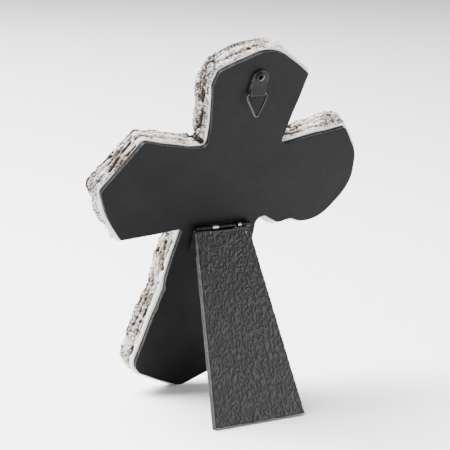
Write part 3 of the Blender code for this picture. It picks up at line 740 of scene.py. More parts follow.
def stoneBody():
    places, normals, along = roundedOutline(body["step"])
    count = len(places)
    flats, deeps, levels = wallRows(places, normals)
    around = np.broadcast_to(along, deeps.shape)
    washed, seamed, pitted = [
        bumpsAt(places, [(right, up, radius, shares[k]) for right, up, radius, *shares in washPatches])
        for k in range(3)]
    # the relief moves the wall out, and turns forward towards the front
    relief, seams, pits = wallRelief(around, deeps, pitted)
    cut, grooveBrown, grooveSoot = cutGrooves(around, deeps, places, along)
    lipDeep = body["lipDeep"] + bumpsAt(places, body["lipPatches"])
    lipDeep = lipDeep + 0.25 * waves(around / 2.2, 0.0 * deeps, 55)
    onWall = ramp(levels, *body["wallFrom"])
    wall = ramp(deeps, lipDeep - 0.05, lipDeep + 0.45) * onWall
    front = ramp(levels, *body["frontFrom"])
    chip = body["chipDeep"] * chips(around / body["chipSize"], deeps / 2.5, 40)
    lift = wall * (relief * (1 - 0.5 * front)) - cut * ramp(levels, *body["grooveFrom"])
    lift = lift + ramp(levels, *body["chipsFrom"]) * (1 - ramp(levels, *body["chipsEnd"])) * chip
    lift[-1] = 0.0
    slope = np.clip((levels - body["turnFrom"]) / body["turnOver"], 0.0, 1.0) * math.pi / 2
    flats = flats + (normals[None, :, :] * (lift * np.cos(slope))[:, :, None])
    deeps = deeps + lift * np.sin(slope)
    # the smooth lip, and where the rock shows in its back face
    thin = body["lipThin"] + bumpsAt(places, body["lipThinPatches"])
    thin = np.clip(thin * (1.0 + 0.4 * waves(along / 2.0, 0.0 * along, 57)), 0.0, 0.95)
    deepLip = (1.0 - wall) * ramp(levels, *body["lipEnds"]) * (1.0 - ramp(thin, 0.3, 0.5))
    lipped = np.maximum(1.0 - ramp(levels, 0.9 - thin, 1.05 - thin), deepLip)
    rock = 1.0 - lipped
    # the wash gathers where a point lies below its surroundings
    proud = ((flats - places[None, :, :]) * normals[None, :, :]).sum(2) * (1 - front) + deeps * front
    hollow = np.clip((evenedOut(proud) - proud) / 0.7, 0.0, 1.0) * wall
    patchy = 0.5 + 0.5 * waves(around / 4.0, deeps / 1.6, 50)
    creased = bumpsAt(places, sootSpots) * ramp(deeps, 0.6, 2.0)
    creased = creased * (0.8 + 0.5 * waves(around, deeps / 1.5, 58))
    brown = np.clip(hollow * (0.35 + washed) + 0.8 * washed * ramp(patchy, 0.3, 0.9) * wall, 0.0, 1.0)
    brown = np.maximum(brown, grooveBrown * onWall)
    brown = np.maximum(brown, np.clip(1.6 * creased, 0.0, 1.0))
    dark = np.clip((1.6 * hollow + 0.7 * seams * wall) * (0.25 + seamed) - 0.25, 0.0, 1.0)
    dark = np.maximum(dark, np.clip(pits * wall * (0.75 + 0.3 * seamed), 0.0, 0.9))
    dark = np.maximum(dark, grooveSoot * ramp(levels, *body["sootFrom"]))
    dark = np.maximum(dark, np.clip(creased, 0.0, 1.0))
    # the mesh: the rows of the wall, then the field in front
    inside, fieldDeep, fieldBrown = frontField(flats[-1])
    flat = np.vstack((flats.reshape(-1, 2), inside))
    deep = np.concatenate((deeps.ravel(), fieldDeep))
    verts = np.column_stack((-flat[:, 0], -(body["behindBoard"] + deep), flat[:, 1])) * mm
    last = (len(flats) - 1) * count
    faces = ringFaces(len(flats), count) + filled(flats[0]) + filled(flats[-1], inside, last)
    piece = placeAt(addMesh("stone_body", verts, faces), boardFrame)
    restOnGround(piece)
    turnOut(piece)
    marks = {
        "brown": (brown, fieldBrown), "dark": (dark, 0.0), "lip": (lipped, 0.0),
        "pitted": (np.clip(pitted * rock * 0.8, 0.0, 1.0), 0.25),
        "washed": (np.clip(washed * rock, 0.0, 1.4), 0.3),
        "around": (around, inside[:, 0]), "depth": (deeps, inside[:, 1]),
    }
    for name, (onRows, onField) in marks.items():
        paint(piece, name, np.concatenate((onRows.ravel(), np.broadcast_to(onField, len(inside)))))
    piece.data.shade_smooth()
    keepSharp(piece, count)
    return piece


def restOnGround(piece):
    # the tip is worn flat where it stands
    spots = np.empty(len(piece.data.vertices) * 3, dtype=np.float32)
    piece.data.vertices.foreach_get("co", spots)
    spots[2::3] = np.maximum(spots[2::3], 0.0)
    piece.data.vertices.foreach_set("co", spots)


def keepSharp(piece, count):
    # the first ring of points stays a sharp edge
    ring = {frozenset((k, (k + 1) % count)) for k in range(count)}
    for edge in piece.data.edges:
        if frozenset(edge.vertices) in ring:
            edge.use_edge_sharp = True


def alongWall(tree, long, deep):
    # a place on the wall for drawn-out marks
    return vector(tree, times(painted(tree, "around"), long), times(painted(tree, "depth"), deep))


def stoneMaterial():
    made, tree, place, shader = newMaterial("castStone")
    cream, warm, lipWhite = (0.82, 0.80, 0.78), (0.74, 0.705, 0.66), (0.68, 0.675, 0.70)
    tan, umber, soot = (0.62, 0.49, 0.37), (0.115, 0.076, 0.050), (0.012, 0.009, 0.007)
    fleck, fleckDark = (0.19, 0.168, 0.15), (0.030, 0.025, 0.021)
    lip, pitted = painted(tree, "lip"), painted(tree, "pitted")
    mottle = noiseOf(place, 170.0, 4.0)
    colour = mixed(between(mottle, 0.42, 0.72), cream, warm)
    # the brown wash, in patches and in streaks along the wall
    patchy = noiseOf(place, 520.0, 5.0, 0.7)
    streaks = noiseOf(alongWall(tree, 0.14, 0.85), 1.0, 5.0, 0.65, 0.5)
    streaked = times(minus(streaks, 0.44), times(painted(tree, "washed"), 2.4))
    wash = plus(plus(painted(tree, "brown"), minus(patchy, 0.55)), streaked)
    colour = mixed(between(wash, 0.10, 0.55, 0.0, 0.95), colour, tan)
    colour = mixed(between(wash, 0.55, 1.05, 0.0, 0.9), colour, umber)
    # flecks drawn out along the beds of rock, and spots
    drift = times(minus(noiseOf(place, 95.0, 2.0), 0.5), 0.25)
    flecks = noiseOf(alongWall(tree, 0.8, 1.6), 1.0, 5.0, 0.72, 0.4)
    flecks = plus(plus(flecks, plus(times(pitted, 0.085), 0.005)), drift)
    inRock = minus(1.0, lip, True)
    colour = mixed(times(between(flecks, 0.545, 0.585, 0.0, 0.9), inRock), colour, fleck)
    colour = mixed(times(between(flecks, 0.585, 0.63, 0.0, 0.95), inRock), colour, fleckDark)
    spots = useGroup(specks, Place=place, Scale=850.0, Share=times(pitted, 0.55), Size=0.55)
    colour = mixed(times(between(spots, 0.1, 0.6), 0.85), colour, umber)
    colour = mixed(lip, colour, lipWhite)
    # seams, pits and creases
    dark = plus(painted(tree, "dark"), times(minus(patchy, 0.5), 1.3))
    colour = mixed(between(dark, 0.25, 0.55, 0.0, 0.9), colour, umber)
    colour = mixed(between(dark, 0.50, 0.85), colour, soot)
    grain = useGroup(fineGrain, Place=place, Scale=2200.0, Coarse=0.8)
    hollows = plus(spots, between(flecks, 0.5, 0.65))
    height = times(minus(grain, hollows), minus(1.0, times(lip, 0.8)))
    dress(shader, {"Base Color": colour, "Roughness": between(mottle, 0.3, 0.8, 0.68, 0.9),
                   "Specular IOR Level": 0.3, "Normal": bumpFrom(height, 0.7, 0.00025)})
    return made


stone = coat(stoneBody(), stoneMaterial())
setOn(stone, "plaque", "cast_stone", "stone_cross")
print("stone body:", len(stone.data.polygons), "faces")


# The board let into the back, cut by hand from pulp board with black paper on its face
board = {
    "thick": 2.4, "step": 0.8, "arris": 0.22, "flatFrom": 0.6, "paper": 0.35, "ragDeep": 0.16, "ragSize": 1.3,
    "pocketDeep": 2.1, "pocketRadius": 1.9, "nickFrom": 0.5,
    # where its cut edge is torn: right, up, radius, depth
    "nicks": [(-23.3, 64, 2.2, 0.9), (-24.6, 51.5, 2, 0.8), (71, 109, 1.2, 0.35), (1, 198, 0.5, 0.35)],
    # where its edge is bare and pale lower down: right, up, radius, share of the thickness
    "bare": [(-26, 55, 45, 0.6)],
}
eyeletAcross, eyeletUp = 1.3 * mm, 186.4 * mm
holeEnd = 4.0 * mm                  # how far out the cutters for its holes reach


def backingBoard():
    places, normals, along = roundedOutline(board["step"])
    count = len(places)
    rag = board["ragDeep"] * waves(along / board["ragSize"], along * 0.0, 70)
    thick, arris = board["thick"], board["arris"]
    # share of the rag, inset, place across the edge from the front
    profile = [(0.1, 0.0, 0.0), (0.3, 0.0, 0.3), (0.9, 0.06, 0.6), (1.0, 0.12, 1.1), (0.9, 0.1, 1.6),
               (0.4, 0.03, thick - board["paper"]), (0.15, 0.0, thick - arris)]
    profile += [(0.1, arris * (1 - math.cos(a)), thick - arris * (1 - math.sin(a)))
                for a in (math.pi / 6, math.pi / 3, math.pi / 2)]
    # a level ring keeps the face flat in the light
    profile += [(0.1, arris + board["flatFrom"], thick)]
    nicks = bumpsAt(places, board["nicks"])
    rings, verts = [], []
    for share, inset, level in profile:
        nick = nicks * np.clip((level - board["nickFrom"]) / (thick - board["nickFrom"]), 0.0, 1.0)
        ring = movedOut(places, normals, share * rag - inset - nick)
        rings.append(ring)
        verts.append(np.column_stack((-ring[:, 0], np.full(count, level - thick), ring[:, 1])))
    last = (len(rings) - 1) * count
    faces = ringFaces(len(rings), count) + filled(rings[-1], start=last) + filled(rings[0])
    piece = addMesh("board_back", np.vstack(verts) * mm, faces)
    turnOut(piece)
    levels = np.repeat([level for _, _, level in profile], count)
    paint(piece, "cut", levels < thick - arris * 0.8)
    paint(piece, "across", levels / thick)
    paint(piece, "bare", np.tile(bumpsAt(places, board["bare"]), len(rings)))
    pocket = (eyeletAcross, -board["pocketDeep"] * mm, eyeletUp)
    combined(piece, rod(board["pocketRadius"] * mm, 0.0, holeEnd, 32, pocket), "DIFFERENCE")
    return softEdges(placeAt(piece, boardFrame), 32.0)


def boardMaterial():
    made, tree, place, shader = newMaterial("blackBoard")
    black, worn, dust = (0.0044, 0.0044, 0.0051), (0.0060, 0.0060, 0.0066), (0.020, 0.0195, 0.0195)
    pulp, pulpDark, darkTowardsStone = (0.050, 0.049, 0.045), (0.022, 0.0218, 0.0205), (0.0105, 0.0107, 0.0107)
    # the paper, with fibres and lint
    cloud = noiseOf(place, 60.0, 4.0)
    fibre = noiseOf(place, 1600.0, 4.0, 0.7)
    lint = useGroup(specks, Place=place, Scale=95.0, Share=0.10, Size=0.06)
    face = mixed(between(cloud, 0.35, 0.7), black, worn)
    face = mixed(between(fibre, 0.6, 0.8, 0.0, 0.25), face, dust)
    face = mixed(between(lint, 0.1, 0.7, 0.0, 0.35), face, dust)
    # the cut edge: pale pulp towards the back face and dark towards the stone, hatched by the knife
    hatch = put(tree, "ShaderNodeTexWave", Vector=place, Scale=260.0, Distortion=6.0, Detail=3.0,
                wave_type="BANDS", bands_direction="DIAGONAL").outputs["Fac"]
    pulpTone = noiseOf(place, 420.0, 5.0, 0.75)
    edge = mixed(between(pulpTone, 0.35, 0.7), pulpDark, pulp)
    edge = mixed(times(hatch, 0.45), edge, pulpDark)
    frayed = plus(plus(painted(tree, "across"), times(pulpTone, 0.25)), painted(tree, "bare"))
    edge = mixed(between(frayed, 0.80, 0.96), darkTowardsStone, edge)
    cut = painted(tree, "cut")
    grain = useGroup(fineGrain, Place=place, Scale=1400.0, Coarse=1.2)
    height = plus(grain, times(times(hatch, cut), 1.5))
    dress(shader, {"Base Color": mixed(between(cut, 0.35, 0.65), face, edge),
                   "Roughness": between(cloud, 0.3, 0.75, 0.36, 0.44),
                   "Specular IOR Level": 0.065, "Normal": bumpFrom(height, 0.35, 0.0002)})
    return made


boardPiece = coat(backingBoard(), boardMaterial())
setOn(boardPiece, "plaque", "backing_board", "backing_board")
print("board:", len(boardPiece.data.polygons), "faces")


# The easel leg: a board covered in black leatherette with a worm grain. Places are mm from the hinge axis
leg = {
    "topHalf": 15.4, "footHalf": 26.3, "top": 2.2, "aside": 1.4, "inner": -1.0, "outer": 2.5,
    "edge": 0.45, "innerEdge": 0.15, "step": 0.31, "rebateInner": -0.15, "rebateDown": 13.3,
    "sideFrom": -0.4, "sideShort": 0.35, "coverFrom": 0.1, "coverOver": 0.6,
    "grainSize": 2.9 * mm, "grainStretch": 0.72, "grainRipples": 24.0, "grainBreaks": 0.22,
    "grainDepth": 0.22 * mm, "grainFades": 0.8,
}


def wormGrainTree():
    # worm-like ridges pressed into the cover: the contours of a soft noise, broken up by a finer one
    tree, given, last = newTree("wormGrain", {
        "Grain Size": leg["grainSize"], "Stretch": leg["grainStretch"], "Ripples": leg["grainRipples"],
        "Breaks": leg["grainBreaks"], "Depth": leg["grainDepth"], "Material": "Material"})
    place = put(tree, "GeometryNodeInputPosition").outputs[0]
    scale = calc("DIVIDE", 1.0, given["Grain Size"])
    stretch = vector(tree, 1.0, 1.0, given["Stretch"])
    shaped = put(tree, "ShaderNodeVectorMath", {0: place, 1: stretch}, operation="MULTIPLY").outputs[0]
    hills = noiseOf(shaped, scale, 1.0, 0.45)
    breaks = noiseOf(shaped, times(scale, 3.3), 1.0, 0.5)
    grit = noiseOf(place, times(scale, 9.0), 2.0, 0.5)
    level = times(plus(hills, times(minus(breaks, 0.5), given["Breaks"])), given["Ripples"])
    wave = plus(times(calc("SINE", level), 0.5), 0.5)
    ridge = plus(times(wave, 0.8), plus(times(minus(grit, 0.5), 0.9), 0.1))
    cover = stored(tree, "cover")
    marked = put(tree, "GeometryNodeStoreNamedAttribute", data_type="FLOAT", domain="POINT", Name="ridge",
                 Geometry=given["Geometry"], Value=times(ridge, cover))
    sink = times(minus(ridge, 1.0), times(given["Depth"], cover))
    normal = put(tree, "GeometryNodeInputNormal").outputs[0]
    push = put(tree, "ShaderNodeVectorMath", {0: normal, "Scale": sink}, operation="SCALE").outputs[0]
    pressed = put(tree, "GeometryNodeSetPosition", Geometry=marked.outputs[0], Offset=push)
    finishTree(given, last, pressed.outputs[0])
    return tree


def legSection(half, innerFace):
    # across the leg: the inner face, a round edge, the side, and the outer face in fine steps
    radius, outer, small = leg["edge"], leg["outer"], leg["innerEdge"]
    columns = round(2 * leg["footHalf"] / leg["step"])
    quarter = [math.pi / 2 * k / 4 for k in range(5)]
    low = [(half - small + small * math.sin(a), innerFace + small - small * math.cos(a)) for a in quarter]
    rise = [(half, y) for y in np.linspace(leg["sideFrom"], outer - radius - leg["sideShort"], 5)]
    top = [(half - radius + radius * math.cos(a), outer - radius + radius * math.sin(a)) for a in quarter]
    side = low + [(x, max(y, innerFace + 0.2 + 0.01 * k)) for k, (x, y) in enumerate(rise)] + top
    flat = [(half - radius - 2 * (half - radius) * k / columns, outer) for k in range(1, columns)]
    return side + flat + [(-x, y) for x, y in reversed(side)]


def spaced(start, end):
    # places down the leg, the grain's step apart
    return list(np.linspace(start, end, round((end - start) / leg["step"])))


def easelLeg(material):
    top, rebate, bottom = leg["top"], leg["rebateDown"], footOfLeg()
    levels = spaced(top, rebate)[:-1] + [rebate - 0.01, rebate + 0.01] + spaced(rebate, bottom)[1:]
    verts, cover, side = [], [], []
    for down in levels:
        half = leg["topHalf"] + (leg["footHalf"] - leg["topHalf"]) * ((down - top) / (bottom - top))
        inner = leg["rebateInner"] if down < rebate else leg["inner"]
        endFade = min(1.0, (down - top) / leg["grainFades"], (bottom - down) / leg["grainFades"])
        for x, y in legSection(half, inner):
            verts.append((leg["aside"] + x, y, -down))
            cover.append(endFade * min(1.0, max(0.0, (y - leg["coverFrom"]) / leg["coverOver"])))
            side.append(y < leg["outer"] - 0.3 * leg["edge"])
    count = len(verts) // len(levels)
    last = len(verts) - count
    faces = ringFaces(len(levels), count) + [tuple(range(count)), tuple(range(last, len(verts)))]
    piece = addMesh("leg_board", np.array(verts) * mm, faces)
    turnOut(piece)
    paint(piece, "cover", cover)
    paint(piece, "side", side)
    grow(piece, wormGrainTree(), Material=material)
    return softEdges(placeAt(piece, legFrame), 60.0)


def footOfLeg():
    # how far down the leg its foot is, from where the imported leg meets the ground
    down = legFrame.to_3x3() @ Vector((0.0, 0.0, -1.0))
    innerFoot = legFrame @ Vector((0.0, leg["inner"] * mm, 0.0))
    return innerFoot.z / -down.z / mm - 0.05


def leatherMaterial():
    made, tree, place, shader = newMaterial("leatherette")
    # the grain's hollows are darker and its ridges lighter: painted shade in the hollows and painted sheen on
    # the ridges
    hollow, plain, rubbed = (0.0042, 0.0042, 0.0045), (0.0058, 0.0057, 0.0062), (0.0090, 0.0088, 0.0088)
    # painted light: the leg's sides, and its inner face with them, are lighter, as if lit from the side
    sideLightTone = (0.015, 0.0145, 0.0135)
    ridge = painted(tree, "ridge")
    cloud = noiseOf(place, 220.0, 4.0)
    # ridge tops rubbed lighter: real rubbing, and painted sheen
    rubAndSheen = times(between(ridge, 0.5, 1.2), between(cloud, 0.35, 0.65, 0.25, 1.0))
    sideLightShare = times(painted(tree, "side"), between(cloud, 0.3, 0.6, 0.4, 1.0))
    colour = mixed(between(ridge, -0.1, 0.8), hollow, plain)
    colour = mixed(sideLightShare, mixed(rubAndSheen, colour, rubbed), sideLightTone)
    grain = useGroup(fineGrain, Place=place, Scale=2600.0, Coarse=1.0)
    dress(shader, {"Base Color": colour, "Roughness": between(ridge, 0.0, 1.0, 0.50, 0.36),
                   "Specular IOR Level": 0.25, "Normal": bumpFrom(grain, 0.5, 0.00015)})
    return made


legPiece = easelLeg(leatherMaterial())
setOn(legPiece, "leg", "leatherette", "easel_leg")
print("leg:", len(legPiece.data.polygons), "faces")


# Finishes of the metal parts
def metalMaterial(name, paintTone, worn, rough, wear, wearScale, gloss):
    # dark finish over steel, rubbed through at the painted edges
    made, tree, place, shader = newMaterial(name)
    cloud = noiseOf(place, 700.0, 4.0)
    finish = mixed(between(cloud, 0.35, 0.75), paintTone, tuple(2.2 * c for c in paintTone))
    rubbed = useGroup(edgeWear, Place=place, Edge=painted(tree, "edge"), Amount=wear, Scale=wearScale)
    grain = useGroup(fineGrain, Place=place, Scale=3000.0, Coarse=1.0)
    dress(shader, {"Base Color": mixed(rubbed, finish, worn), "Metallic": times(rubbed, 0.9),
                   "Roughness": between(cloud, 0.3, 0.8, rough * 0.8, rough * 1.3),
                   "Specular IOR Level": gloss, "Normal": bumpFrom(grain, 0.35, 0.0001)})
    return made


def bareSteelMaterial():
    made, _, place, shader = newMaterial("bareSteel")
    cloud = noiseOf(place, 900.0, 4.0)
    colour = mixed(between(cloud, 0.35, 0.75), (0.13, 0.127, 0.12), (0.06, 0.057, 0.053))
    dress(shader, {"Base Color": colour, "Metallic": 1.0, "Roughness": between(cloud, 0.3, 0.8, 0.25, 0.5),
                   "Normal": bumpFrom(noiseOf(place, 4000.0, 3.0), 0.3, 0.0001)})
    return made


blackMetal = metalMaterial("blackMetal", (0.0045, 0.0045, 0.0050), (0.17, 0.167, 0.162),
                           rough=0.40, wear=0.5, wearScale=1400.0, gloss=0.12)
hingeBlack = metalMaterial("hingeBlack", (0.003, 0.003, 0.0033), (0.36, 0.355, 0.35),
                           rough=0.22, wear=0.9, wearScale=1000.0, gloss=0.12)
ringWire = metalMaterial("ringWire", (0.006, 0.006, 0.0068), (0.20, 0.196, 0.19),
                         rough=0.19, wear=0.5, wearScale=1100.0, gloss=0.5)


# The hanger: a strip folded round the ring's bar, and its eyelet
strap = {
    "aside": 0.7, "half": 4.35, "loopHalf": 4.15, "roundUp": 185.2,          # mm, centre x, half widths
    "thick": 0.5, "innerOut": 0.55, "outerOut": 1.2,                         # middle of each layer
    "barUp": 177.2, "barOut": 1.75, "loopRadius": 0.95, "loopTurn": 8.0, "closedUp": 180.2,
    "columns": 22, "arcStep": 12.0, "holeRadius": 1.75, "edge": 0.1,
    "roundTop": (84, 76, 68, 58, 48, 36, 24, 12, 0),                         # degrees round its top corners
    "wornFrom": 0.985, "faintFrom": 0.9, "faint": 0.25, "wornAndLitTop": 0.97,     # shares of the half width
}


def strapCourse():
    # out of the board and up it, from the top of the inner layer round the bar to the top of the outer one
    half, loopHalf, low = strap["half"], strap["loopHalf"], strap["roundUp"]
    roundTop = [math.radians(degrees) for degrees in strap["roundTop"]]
    corner = [(low + half * math.sin(a), half * math.cos(a)) for a in roundTop]
    course = [(strap["innerOut"], up, wide) for up, wide in corner]
    course += [(strap["innerOut"], up, half) for up in (183.5, 181.5, 180.0, 179.0)]
    turn = 180 + strap["loopTurn"]
    steps = round(turn / strap["arcStep"])
    for k in range(steps + 1):
        angle = math.pi + math.radians(turn) * k / steps
        course.append((strap["barOut"] + strap["loopRadius"] * math.cos(angle),
                       strap["barUp"] + strap["loopRadius"] * math.sin(angle), loopHalf))
    startOut, startUp, _ = course[-1]
    for share in [k / 7 for k in range(1, 8)]:
        ease = 1 - (1 - share) ** 1.15
        course.append((startOut + (strap["outerOut"] - startOut) * ease,
                       startUp + (strap["closedUp"] - startUp) * share, loopHalf + (half - loopHalf) * share))
    return course + [(strap["outerOut"], up, wide) for up, wide in reversed(corner)]


def hangerStrap():
    columns, wide = strap["columns"], strap["columns"] + 1
    shares = [math.sin(math.pi / 2 * (2 * k / columns - 1)) for k in range(wide)]
    course = strapCourse()
    verts, edge = [], []
    for out, up, half in course:
        verts += [(strap["aside"] + half * share, out, up) for share in shares]
        # the very top of the round end is rubbed bright: wear, and a painted highlight along its top edge
        topWornAndLit = up > strap["roundUp"] + strap["half"] * strap["wornAndLitTop"]
        edge += [1.0 if topWornAndLit or abs(share) > strap["wornFrom"]
                 else strap["faint"] * (abs(share) > strap["faintFrom"]) for share in shares]
    faces = [(r * wide + c, r * wide + c + 1, (r + 1) * wide + c + 1, (r + 1) * wide + c)
             for r in range(len(course) - 1) for c in range(columns)]
    piece = addMesh("hanger_strip", np.array(verts) * mm, faces)
    paint(piece, "edge", edge)
    wall = piece.modifiers.new("wall", "SOLIDIFY")
    wall.thickness = strap["thick"] * mm
    wall.offset = 0.0
    settle(piece)
    turnOut(piece)
    hole = rod(strap["holeRadius"] * mm, -1.0 * mm, holeEnd, 40, (eyeletAcross, 0, eyeletUp))
    combined(piece, hole, "DIFFERENCE")
    bevelled(piece, strap["edge"] * mm, 2, 50.0)
    return softEdges(coat(placeAt(piece, boardFrame), blackMetal), 40.0)


# The eyelet, turned: radius and place out of the board in mm
eyelet = {
    "profile": [(1.2, -1.6), (1.2, 1.95), (1.25, 2.15), (1.4, 2.3), (1.6, 2.35), (1.85, 2.3), (2.1, 2.15),
                (2.27, 1.98), (2.3, 1.85), (2.25, 1.8), (1.6, 1.8), (1.6, -1.6)],
    "steps": 56, "rubbed": (3, 4, 5),       # the profile's points that are rubbed bright
    "highlightFacing": math.radians(225), "rubbedAll": 0.75, "highlightMore": 0.4,
}


def hangerEyelet():
    profile = [(radius * mm, out * mm) for radius, out in eyelet["profile"]]
    piece = turned("hanger_eyelet", profile, eyelet["steps"], (eyeletAcross, 0, eyeletUp))
    rubbed = []
    for k in range(eyelet["steps"]):
        # rubbed bright all round, and brighter still on one side: a painted highlight on the rim
        facing = max(0.0, math.cos(2 * math.pi * k / eyelet["steps"] - eyelet["highlightFacing"]))
        here = eyelet["rubbedAll"] + eyelet["highlightMore"] * facing
        rubbed += [here if i in eyelet["rubbed"] else 0.0 for i in range(len(profile))]
    paint(piece, "edge", rubbed)
    return softEdges(coat(placeAt(piece, boardFrame), blackMetal), 50.0)


# The ring: one wire bent to a D with a pointed foot. Each corner has across, up and bend in mm
ring = {"aside": 0.25, "wire": 0.5, "steps": 10, "worn": 0.3,
        "corners": [(-5.6, 0, 0.75), (5.6, 0, 0.75), (5.4, -2.3, 3), (0.55, -11.9, 1), (-5.4, -2.3, 3)]}


def bentWireTree():
    # a wire along a closed line, with each corner rounded by its own bend
    tree, given, last = newTree("bentWire", {
        "Wire Radius": ring["wire"] * mm, "Bend Steps": ring["steps"], "Material": "Material"})
    line = put(tree, "GeometryNodeMeshToCurve", Mesh=given["Geometry"]).outputs[0]
    rounded = put(tree, "GeometryNodeFilletCurve", mode="POLY", Curve=line, Count=given["Bend Steps"],
                  Radius=stored(tree, "bend")).outputs[0]
    fine = put(tree, "GeometryNodeResampleCurve", mode="LENGTH", Curve=rounded, Length=0.25 * mm).outputs[0]
    circle = put(tree, "GeometryNodeCurvePrimitiveCircle", Radius=given["Wire Radius"], Resolution=16)
    wire = put(tree, "GeometryNodeCurveToMesh", {"Curve": fine, "Profile Curve": circle.outputs[0]})
    finishTree(given, last, wire.outputs[0])
    return tree


def hangingRing():
    corners = ring["corners"]
    course = [(k, (k + 1) % len(corners)) for k in range(len(corners))]
    places = [((ring["aside"] + x) * mm, 0.0, z * mm) for x, z, _ in corners]
    piece = addMesh("hanging_ring_wire", places, [], course)
    paint(piece, "bend", [radius * mm for _, _, radius in corners])
    grow(piece, bentWireTree(), Material=ringWire)
    turnOut(piece)
    paint(piece, "edge", [ring["worn"]] * len(piece.data.vertices))
    placeAt(piece, ringFrame)
    piece.data.shade_smooth()
    return piece


# The easel hinge: two plates whose knuckles are rolled from the sheet
hinge = {
    "thick": 0.5, "curl": 1.1, "curlTurn": 284.0, "curlSteps": 26, "jogFrom": 3.0, "jogTo": 0.9, "tail": 3.4,
    "ends": (0.5, 0.485, 0.45),             # where a knuckle has its rings of points, as shares of its length
    "plateHalf": 15.45, "plateLong": 13.0, "slot": 2.2, "plateOut": 1.55,
    "legOut": 0.7, "legHalf": 14.85, "legTop": 1.75,
    "outer": ((-15.85, -6.85), (8.7, 15.85)), "middle": ((-6.5, 6.5),),        # right of centre
    "heel": (5.0, 0.8, 2.1), "heelFrom": 0.9, "edge": 0.07,
    "wornBand": (0.4, 0.49),                # the part of a knuckle's length that is rubbed bright
}


def knuckleSection(plateOut):
    # the sheet from the plate, over the pin and round under it, 1 m long for the tree to scale
    radius, half, jogFrom, jogTo = hinge["curl"], hinge["thick"] / 2, hinge["jogFrom"], hinge["jogTo"]
    line = [(-plateOut, -hinge["tail"]), (-plateOut, -jogFrom)]
    for share in [k / 6 for k in range(1, 6)]:
        ease = share * share * (3 - 2 * share)
        line.append((-plateOut + (plateOut - radius) * ease, -jogFrom + (jogFrom - jogTo) * share))
    line.append((-radius, -jogTo * 0.6))
    for k in range(hinge["curlSteps"] + 1):
        angle = math.pi - math.radians(hinge["curlTurn"]) * k / hinge["curlSteps"]
        line.append((radius * math.cos(angle), radius * math.sin(angle)))
    points = [Vector(p) for p in line]
    count = len(points)
    alongs = [(points[min(k + 1, count - 1)] - points[max(k - 1, 0)]).normalized() for k in range(count)]
    slim = half - 0.01
    outside = [p + Vector((-along.y, along.x)) * slim for p, along in zip(points, alongs)]
    inside = [p - Vector((-along.y, along.x)) * slim for p, along in zip(points, alongs)]
    section = outside + inside[::-1]
    stops = [-end for end in hinge["ends"]] + [0.0] + list(reversed(hinge["ends"]))
    around = len(section)
    faces = ringFaces(len(stops), around)
    for start in (0, (len(stops) - 1) * around):
        end = start + around - 1
        faces += [(start + k, start + k + 1, end - 1 - k, end - k) for k in range(count - 1)]
    piece = addMesh("knuckle_section", [(stop, p.x * mm, p.y * mm) for stop in stops for p in section], faces)
    turnOut(piece)
    low, high = hinge["wornBand"]
    paint(piece, "edge", [low < stop < high and p.x > -half for stop in stops for p in section])
    return piece


def rolledKnucklesTree():
    # one knuckle on each point, as long as the point says
    tree, given, last = newTree("rolledKnuckles", {"Section": "Object", "Material": "Material"})
    section = put(tree, "GeometryNodeObjectInfo", Object=given["Section"]).outputs["Geometry"]
    size = vector(tree, stored(tree, "long"), 1.0, 1.0)
    copies = put(tree, "GeometryNodeInstanceOnPoints", Points=given["Geometry"], Instance=section, Scale=size)
    finishTree(given, last, copies.outputs[0])
    return tree


def leafPlate(wide, out, top):
    half = hinge["thick"] / 2
    low, high = Vector((-wide, -out - half, -hinge["plateLong"])), Vector((wide, -out + half, -top))
    return block("plate", low * mm, high * mm)


def hingeLeaf(name, spans, worn, plateOut, plates, matrix):
    # plates united with their rolled knuckles, their edges rounded
    piece = addMesh(name, [(-(left + right) / 2 * mm, 0.0, 0.0) for left, right in spans], [])
    paint(piece, "long", [(right - left) * mm for left, right in spans])
    paint(piece, "worn", worn)
    section = knuckleSection(plateOut)
    grow(piece, knuckleTree, Section=section, Material=hingeBlack)
    bpy.data.objects.remove(section, do_unlink=True)
    attributes = piece.data.attributes
    for spot, share in zip(attributes["edge"].data, attributes["worn"].data):
        spot.value *= share.value
    for plate in plates:
        combined(piece, plate, "UNION")
    bevelled(piece, hinge["edge"] * mm, 2, 60.0)
    turnOut(piece)
    return softEdges(coat(placeAt(piece, matrix), hingeBlack), 35.0)


def boardLeaf():
    axis = Matrix.Translation((0.0, hingeOnBoard.y, hingeOnBoard.z))
    plate = leafPlate(hinge["plateHalf"], hinge["plateOut"], hinge["slot"])
    return hingeLeaf("board_leaf", hinge["outer"], (0.0, 1.0), hinge["plateOut"], [plate], boardFrame @ axis)


def legLeaf():
    plate = leafPlate(hinge["legHalf"], hinge["legOut"], hinge["legTop"])
    across, thick, reach = hinge["heel"]
    low, high = Vector((-across, -thick / 2, hinge["heelFrom"])), Vector((across, thick / 2, reach))
    heel = block("heel", low * mm, high * mm)
    return hingeLeaf("leg_leaf", hinge["middle"], (1.0,), hinge["legOut"], [plate, heel], legFrame)


# The two prongs that clinch the leg's leaf through the leg
prongs = {"places": ((9.2, -2.9), (-11.2, -4.6)), "size": (0.8, 0.45, 1.3), "taper": 0.55, "bent": 0.15,
          "proud": 0.05, "edge": 0.14}


def clinchProngs():
    half = [side * mm / 2 for side in prongs["size"]]
    bm = bmesh.new()
    for across, up in prongs["places"]:
        prong = block("prong", [-side for side in half], half)
        for vert in prong.data.vertices:
            if vert.co.z < 0:
                vert.co.x *= prongs["taper"]
                vert.co.y -= prongs["bent"] * mm
        bevelled(prong, prongs["edge"] * mm, 3, 35.0)
        placeAt(prong, Matrix.Translation((across * mm, (leg["outer"] + prongs["proud"]) * mm, up * mm)))
        bm.from_mesh(prong.data)
        bpy.data.objects.remove(prong, do_unlink=True)
    piece = fromBmesh(bm, "clinch_prongs")
    turnOut(piece)
    return softEdges(coat(placeAt(piece, legFrame), bareSteelMaterial()), 40.0)


